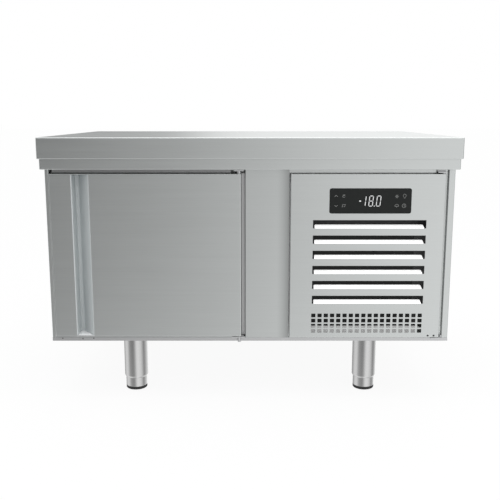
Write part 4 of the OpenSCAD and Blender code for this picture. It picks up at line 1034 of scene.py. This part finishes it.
# Hot gas to the condenser, liquid to the drier, liquid to the evaporator, cold gas back.
runs = [([(289.25, 55.8, 271.2), (289.25, 33.8, 271.2), (289.25, 33.8, 440.2),
          (102.5, 33.8, 440.2), (102.5, -247, 440.2), (102.5, -247, 205.2),
          (134.5, -247, 205.2)], 8),
        ([(134.5, -277, 205.2), (106.5, -277, 205.2), (106.5, -277, 189.2),
          (106.5, -200, 189.2)], 6),
        ([(106.5, -100, 189.2), (106.5, -11.8, 189.2), (106.5, -11.8, 246), (-23, -11.8, 246),
          (-23, -11.8, 261), (-23, -3.8, 261)], 6),
        ([(7, -3.8, 261), (7, -11.8, 261), (146.5, -11.8, 261), (146.5, 149.8, 261),
          (146.5, 149.8, 231.2), (195.25, 149.8, 231.2)], 8)]
piece("bent_pipes", [patch for points, d in runs for patch in bent_pipe(points, d)], copper,
      replaces="refrigerant_pipes")

# %% [markdown]
# ## Fans
#
# A fan's blade is a thin twisted surface: its two parameters are the distance from the axis
# and the place along the chord. The chord turns and climbs together, and its front edge
# sweeps back towards the tip.

# %% Fans
def blades(radius, hub, depth, count=5):
    """Points of the blades: angle = chord place times half the chord's angle, plus a sweep that
    grows with the square of the way out; height = middle plus chord place times half the
    climb, less a hollow that is deepest at the chord's middle."""
    r = np.linspace(hub - 2, radius, 12)[:, None]
    chord = np.linspace(-1, 1, 9)[None]
    grow = (r - hub) / (radius - hub)
    half = np.radians(21 + 5 * grow)
    climb = (depth / 2 - 2.4) * (1 - 0.25 * grow)
    sweep, hollow = 0.28, 1.5
    angle = chord * half + sweep * grow ** 2
    height = depth / 2 + chord * climb - hollow * (1 - chord ** 2)
    return [(r * np.cos(angle + k), r * np.sin(angle + k), height)
            for k in 2 * math.pi * np.arange(count) / count]


def fan(name, node, centre, axis, radius, hub, depth):
    """A fan's blades and its hub, a ring round the shaft's bore."""
    vanes = [sheet(placed(*points, ORDER[axis]) + np.array(centre))
             for points in blades(radius, hub, depth)]
    piece(f"{name}_blades", vanes, black_plastic, body=node, thick=1.6,
          replaces=node)
    cup = rounded([(3.1, 0.4), (hub, 0.4), (hub, depth - 0.4), (3.1, depth - 0.4)],
                  [0, 4, 1, 0], 5)
    piece(f"{name}_hub", [spun(np.concatenate([cup, cup[:1]]), centre, axis, 40)],
          black_plastic, body=node)


fan("cold_fan", "evaporator_fan", (-52.0, -107.8, 362.5), "x", 75.0, 22.0, 24.0)
fan("warm_fan", "condenser_fan", (273.25, -196.0, 295.2), "y", 105.0, 31.0, 26.0)

# %% [markdown]
# ## Coils and compressor
#
# A coil's fins are thin plates a few millimetres apart, far too many to model one by one: they
# are one box, repeated by adding its corners to a list of places. A cheek beside the condenser
# and a hood over it keep the warm air from turning back. The compressor is a welded shell,
# spun in one section with the weld's rim a little above its middle.

# %% Boxes in rows
def boxes(lows, highs):
    """Closed boxes from arrays of lowest and highest corners."""
    low, high = np.asarray(lows, float)[:, None], np.asarray(highs, float)[:, None]
    pick = np.array([(i & 1, i >> 1 & 1, i >> 2 & 1) for i in range(8)])
    points = np.where(pick[None], high, low).reshape(-1, 3)
    sides = np.array([(0, 2, 3, 1), (4, 5, 7, 6), (0, 1, 5, 4), (2, 6, 7, 3), (0, 4, 6, 2),
                      (1, 3, 7, 5)])
    return points, (np.arange(len(low))[:, None, None] * 8 + sides).reshape(-1, 4)


def fin_pack(axis, low, high, foot, pitch=4.0, thin=0.3):
    """Fins across the axis from low to high, and a plate at each end that reaches the foot."""
    places = np.arange(low[axis] + pitch, high[axis] - 3.0, pitch)
    lows, highs = np.tile(low, (len(places), 1)), np.tile(high, (len(places), 1))
    lows[:, axis], highs[:, axis] = places, places + thin
    ends_low, ends_high = np.tile(low, (2, 1)), np.tile(high, (2, 1))
    ends_low[1, axis], ends_high[0, axis] = high[axis] - 1.5, low[axis] + 1.5
    ends_low[:, 2] = foot
    return [boxes(lows, highs), boxes(ends_low, ends_high)]


# %% The two coils
COLD_FOOT, WARM_FOOT, CHEEK_FOOT = 231.0, 175.2, 188.0    # heights where they begin
BEND_ROOM = 10.5                                          # behind the cold fins
low, high = corners("evaporator_fins")
cold = fin_pack(1, np.array([low[0], low[1], COLD_FOOT]), high - (BEND_ROOM, 0, 0), low[2])
piece("cold_fins", cold, fin_aluminium, replaces="evaporator_fins")
low, high = corners("condenser_fins")
warm = fin_pack(0, np.array([low[0], low[1], WARM_FOOT]), high, low[2])
hood_x, cheek_x, hood_z = low[0] - 36, high[0] + 30, high[2] + 37
warm.append(boxes([(high[0], low[1], CHEEK_FOOT)], [(cheek_x, low[1] + SHEET, high[2])]))
piece("warm_fins", warm, coil_black, replaces="condenser_fins")
hood = bent([(low[1], high[2] + 0.4), (low[1], hood_z), (low[1] + 14, hood_z)], [0, 2, 0],
            hood_x, cheek_x, "yzx")
piece("coil_hood", [hood], black_plastic, thick=1.0, facing=FRONT)


# %% The compressor
centre = np.array([289.25, 149.8, 171.2])    # of its foot plate's underside
weld_rim = [(78.4, 98), (80, 99), (80, 104), (78.4, 105)]
shell = rounded([(0, 0), (56, 0), (78.4, 24), *weld_rim, (78.4, 146), (46, 170), (0, 170)],
                [0, 14, 14, 0.4, 0.4, 0.4, 0.4, 22, 60, 0], 8)
boss = rounded([(0, 0), (7, 0), (7, 34), (0, 34)], [0, 0, 1.2, 0], 4) * (1, -1) + (0, -60)
plate = ring((-75, -75), (75, 75), [(0, 0), (0, 3)], 10.0) + centre
parts = [spun(shell, centre), sheet(plate, around=True), lid(plate[:, 0]),
         lid(plate[:, -1]), spun(boss, centre + (0, 0, 100), "y", 24),
         spun(boss, centre + (0, 0, 60), "x", 24)]
piece("compressor_shell", parts, black_paint, replaces="compressor")

# %% [markdown]
# ## The camera
#
# The photograph was taken from two metres in front of the counter's middle and five
# centimetres above its worktop, looking down by ten and a half degrees.

# %% Camera
camera = bpy.data.objects.new("camera", bpy.data.cameras.new("camera"))
camera.data.sensor_fit = "HORIZONTAL"
camera.data.sensor_width = 36.0
camera.data.lens = 52.13
camera.location = (0.0, -2.0520, 0.6991)
camera.rotation_euler = (math.radians(90 - 10.485), 0, 0)
bpy.context.collection.objects.link(camera)
bpy.context.scene.camera = camera

# %% [markdown]
# ## Studio light
#
# Brushed steel shows its surroundings, blurred. In the photograph it goes from dark at the
# left to light at the right, as in a studio with a large soft source on the right and a dim
# wall on the left. The world is such a studio: its brightness depends on the direction round
# the object. The camera itself sees white, and so do rays that pass through something clear.

# %% The world
world = bpy.data.worlds.new("studio")
bpy.context.scene.world = world
world.use_nodes = True
Term.tree = world.node_tree
direction = Term.make("TexCoord", output="Generated")
split = Term.make("SeparateXYZ", {}, {0: direction})
across, inwards, height = (Term(split.node, i) for i in range(3))
azimuth = across.math("ARCTAN2", inwards * -1.0) / (2 * math.pi) + 0.5
# Brightness by the direction round the object in degrees: 0 is the front, 90 the right.
STUDIO = [(-180, 1.08), (-177, 0.90), (-174, 0.35), (-169, 0.24), (-140, 0.45), (-110, 1.00),
          (-84, 1.05), (-56, 0.36), (-29, 0.20), (-14, 0.26), (0, 0.70), (12, 1.12), (30, 1.22),
          (58, 0.95), (90, 0.22), (130, 0.90), (165, 1.20), (180, 1.08)]
BRIGHTEST = 2.0    # a colour ramp holds values up to 1, so it is filled with shares of this
stops = [((angle + 180) / 360, value / BRIGHTEST) for angle, value in STUDIO]
walls = Term.make("ValToRGB", {"stops": stops}, {0: azimuth}) * BRIGHTEST
CEILING, GROUND = 1.35, 0.60
overhead = height.rise(0.30, 0.85)
below = (height * -1.0).rise(0.15, 0.6)
room = walls * (1 - overhead) + overhead * CEILING
room = room * (1 - below * 0.45) + below * GROUND
path_kind = Term.make("LightPath")
seen = path_kind.math("MAXIMUM", Term(path_kind.node, "Is Transmission Ray"))
level = room * (1 - seen) + seen
background = world.node_tree.nodes["Background"]
plug(world.node_tree, background.inputs["Strength"], level)
background.inputs["Color"].default_value = (1, 1, 1, 1)

# %% [markdown]
# ## Floor and lamp
#
# The floor is plain and pale. The camera sees it almost white: only a small share of its look
# comes from real light, which leaves a faint shadow. Mirrored in the steel it would wash out
# the studio's shading, so reflections look past it at the world. A large lamp above gives the
# upward faces their soft light.

# %% The floor
WHITE_SHARE = 0.92    # of the floor as the camera sees it


def floor_finish():
    """Matt pale floor, mostly plain white to the camera and lit by the room to all else."""
    material = start("floor")
    speck = grain((30.0,) * 3, 3.0)
    settle(material, {"Base Color": mix(speck, (0.80, 0.80, 0.80), (0.82, 0.82, 0.82)),
                      "Roughness": 0.9})
    tree = material.node_tree
    shine = Term.make("Emission", {}, {"Color": (1, 1, 1), "Strength": 1.0})
    seen = Term.make("LightPath")
    shader = Term(tree.nodes["Principled BSDF"])
    both = Term.make("MixShader", {}, {0: seen * WHITE_SHARE, 1: shader, 2: shine})
    tree.links.new(both.out, tree.nodes["Material Output"].inputs["Surface"])
    return material


floor_mesh = bpy.data.meshes.new("floor")
floor_mesh.from_pydata([(-40, -40, 0), (40, -40, 0), (40, 40, 0), (-40, 40, 0)], [], [(0, 1, 2, 3)])
floor = bpy.data.objects.new("floor", floor_mesh)
floor.data.materials.append(floor_finish())
floor.visible_glossy = False
bpy.context.collection.objects.link(floor)
floor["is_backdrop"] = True

# %% The lamp
lamp = bpy.data.objects.new("overhead_lamp", bpy.data.lights.new("overhead_lamp", "AREA"))
lamp.data.shape = "RECTANGLE"
lamp.data.size, lamp.data.size_y, lamp.data.energy = 3.0, 2.0, 30.0
lamp.location = (0.3, -1.0, 3.0)
lamp.rotation_euler = (math.radians(-18), 0, 0)
bpy.context.collection.objects.link(lamp)
bpy.context.scene.view_settings.view_transform = "Standard"

# %% [markdown]
# ## Measure and finish
#
# The box of the dressed model is measured, and its growth past the box of the solid one is
# printed. The dressed model has to stay inside the box of the solid one.

# %% Finish
new_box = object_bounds()
sizes = [[[float(v) for v in corner] for corner in box] for box in (cad_box, new_box)]
growth = np.abs(sizes[1]) - np.abs(sizes[0])
print("growth in mm:", (1000 * growth).round(2).tolist())
print("pieces:", len(pieces), "faces:", sum(len(p.data.polygons) for p in pieces))
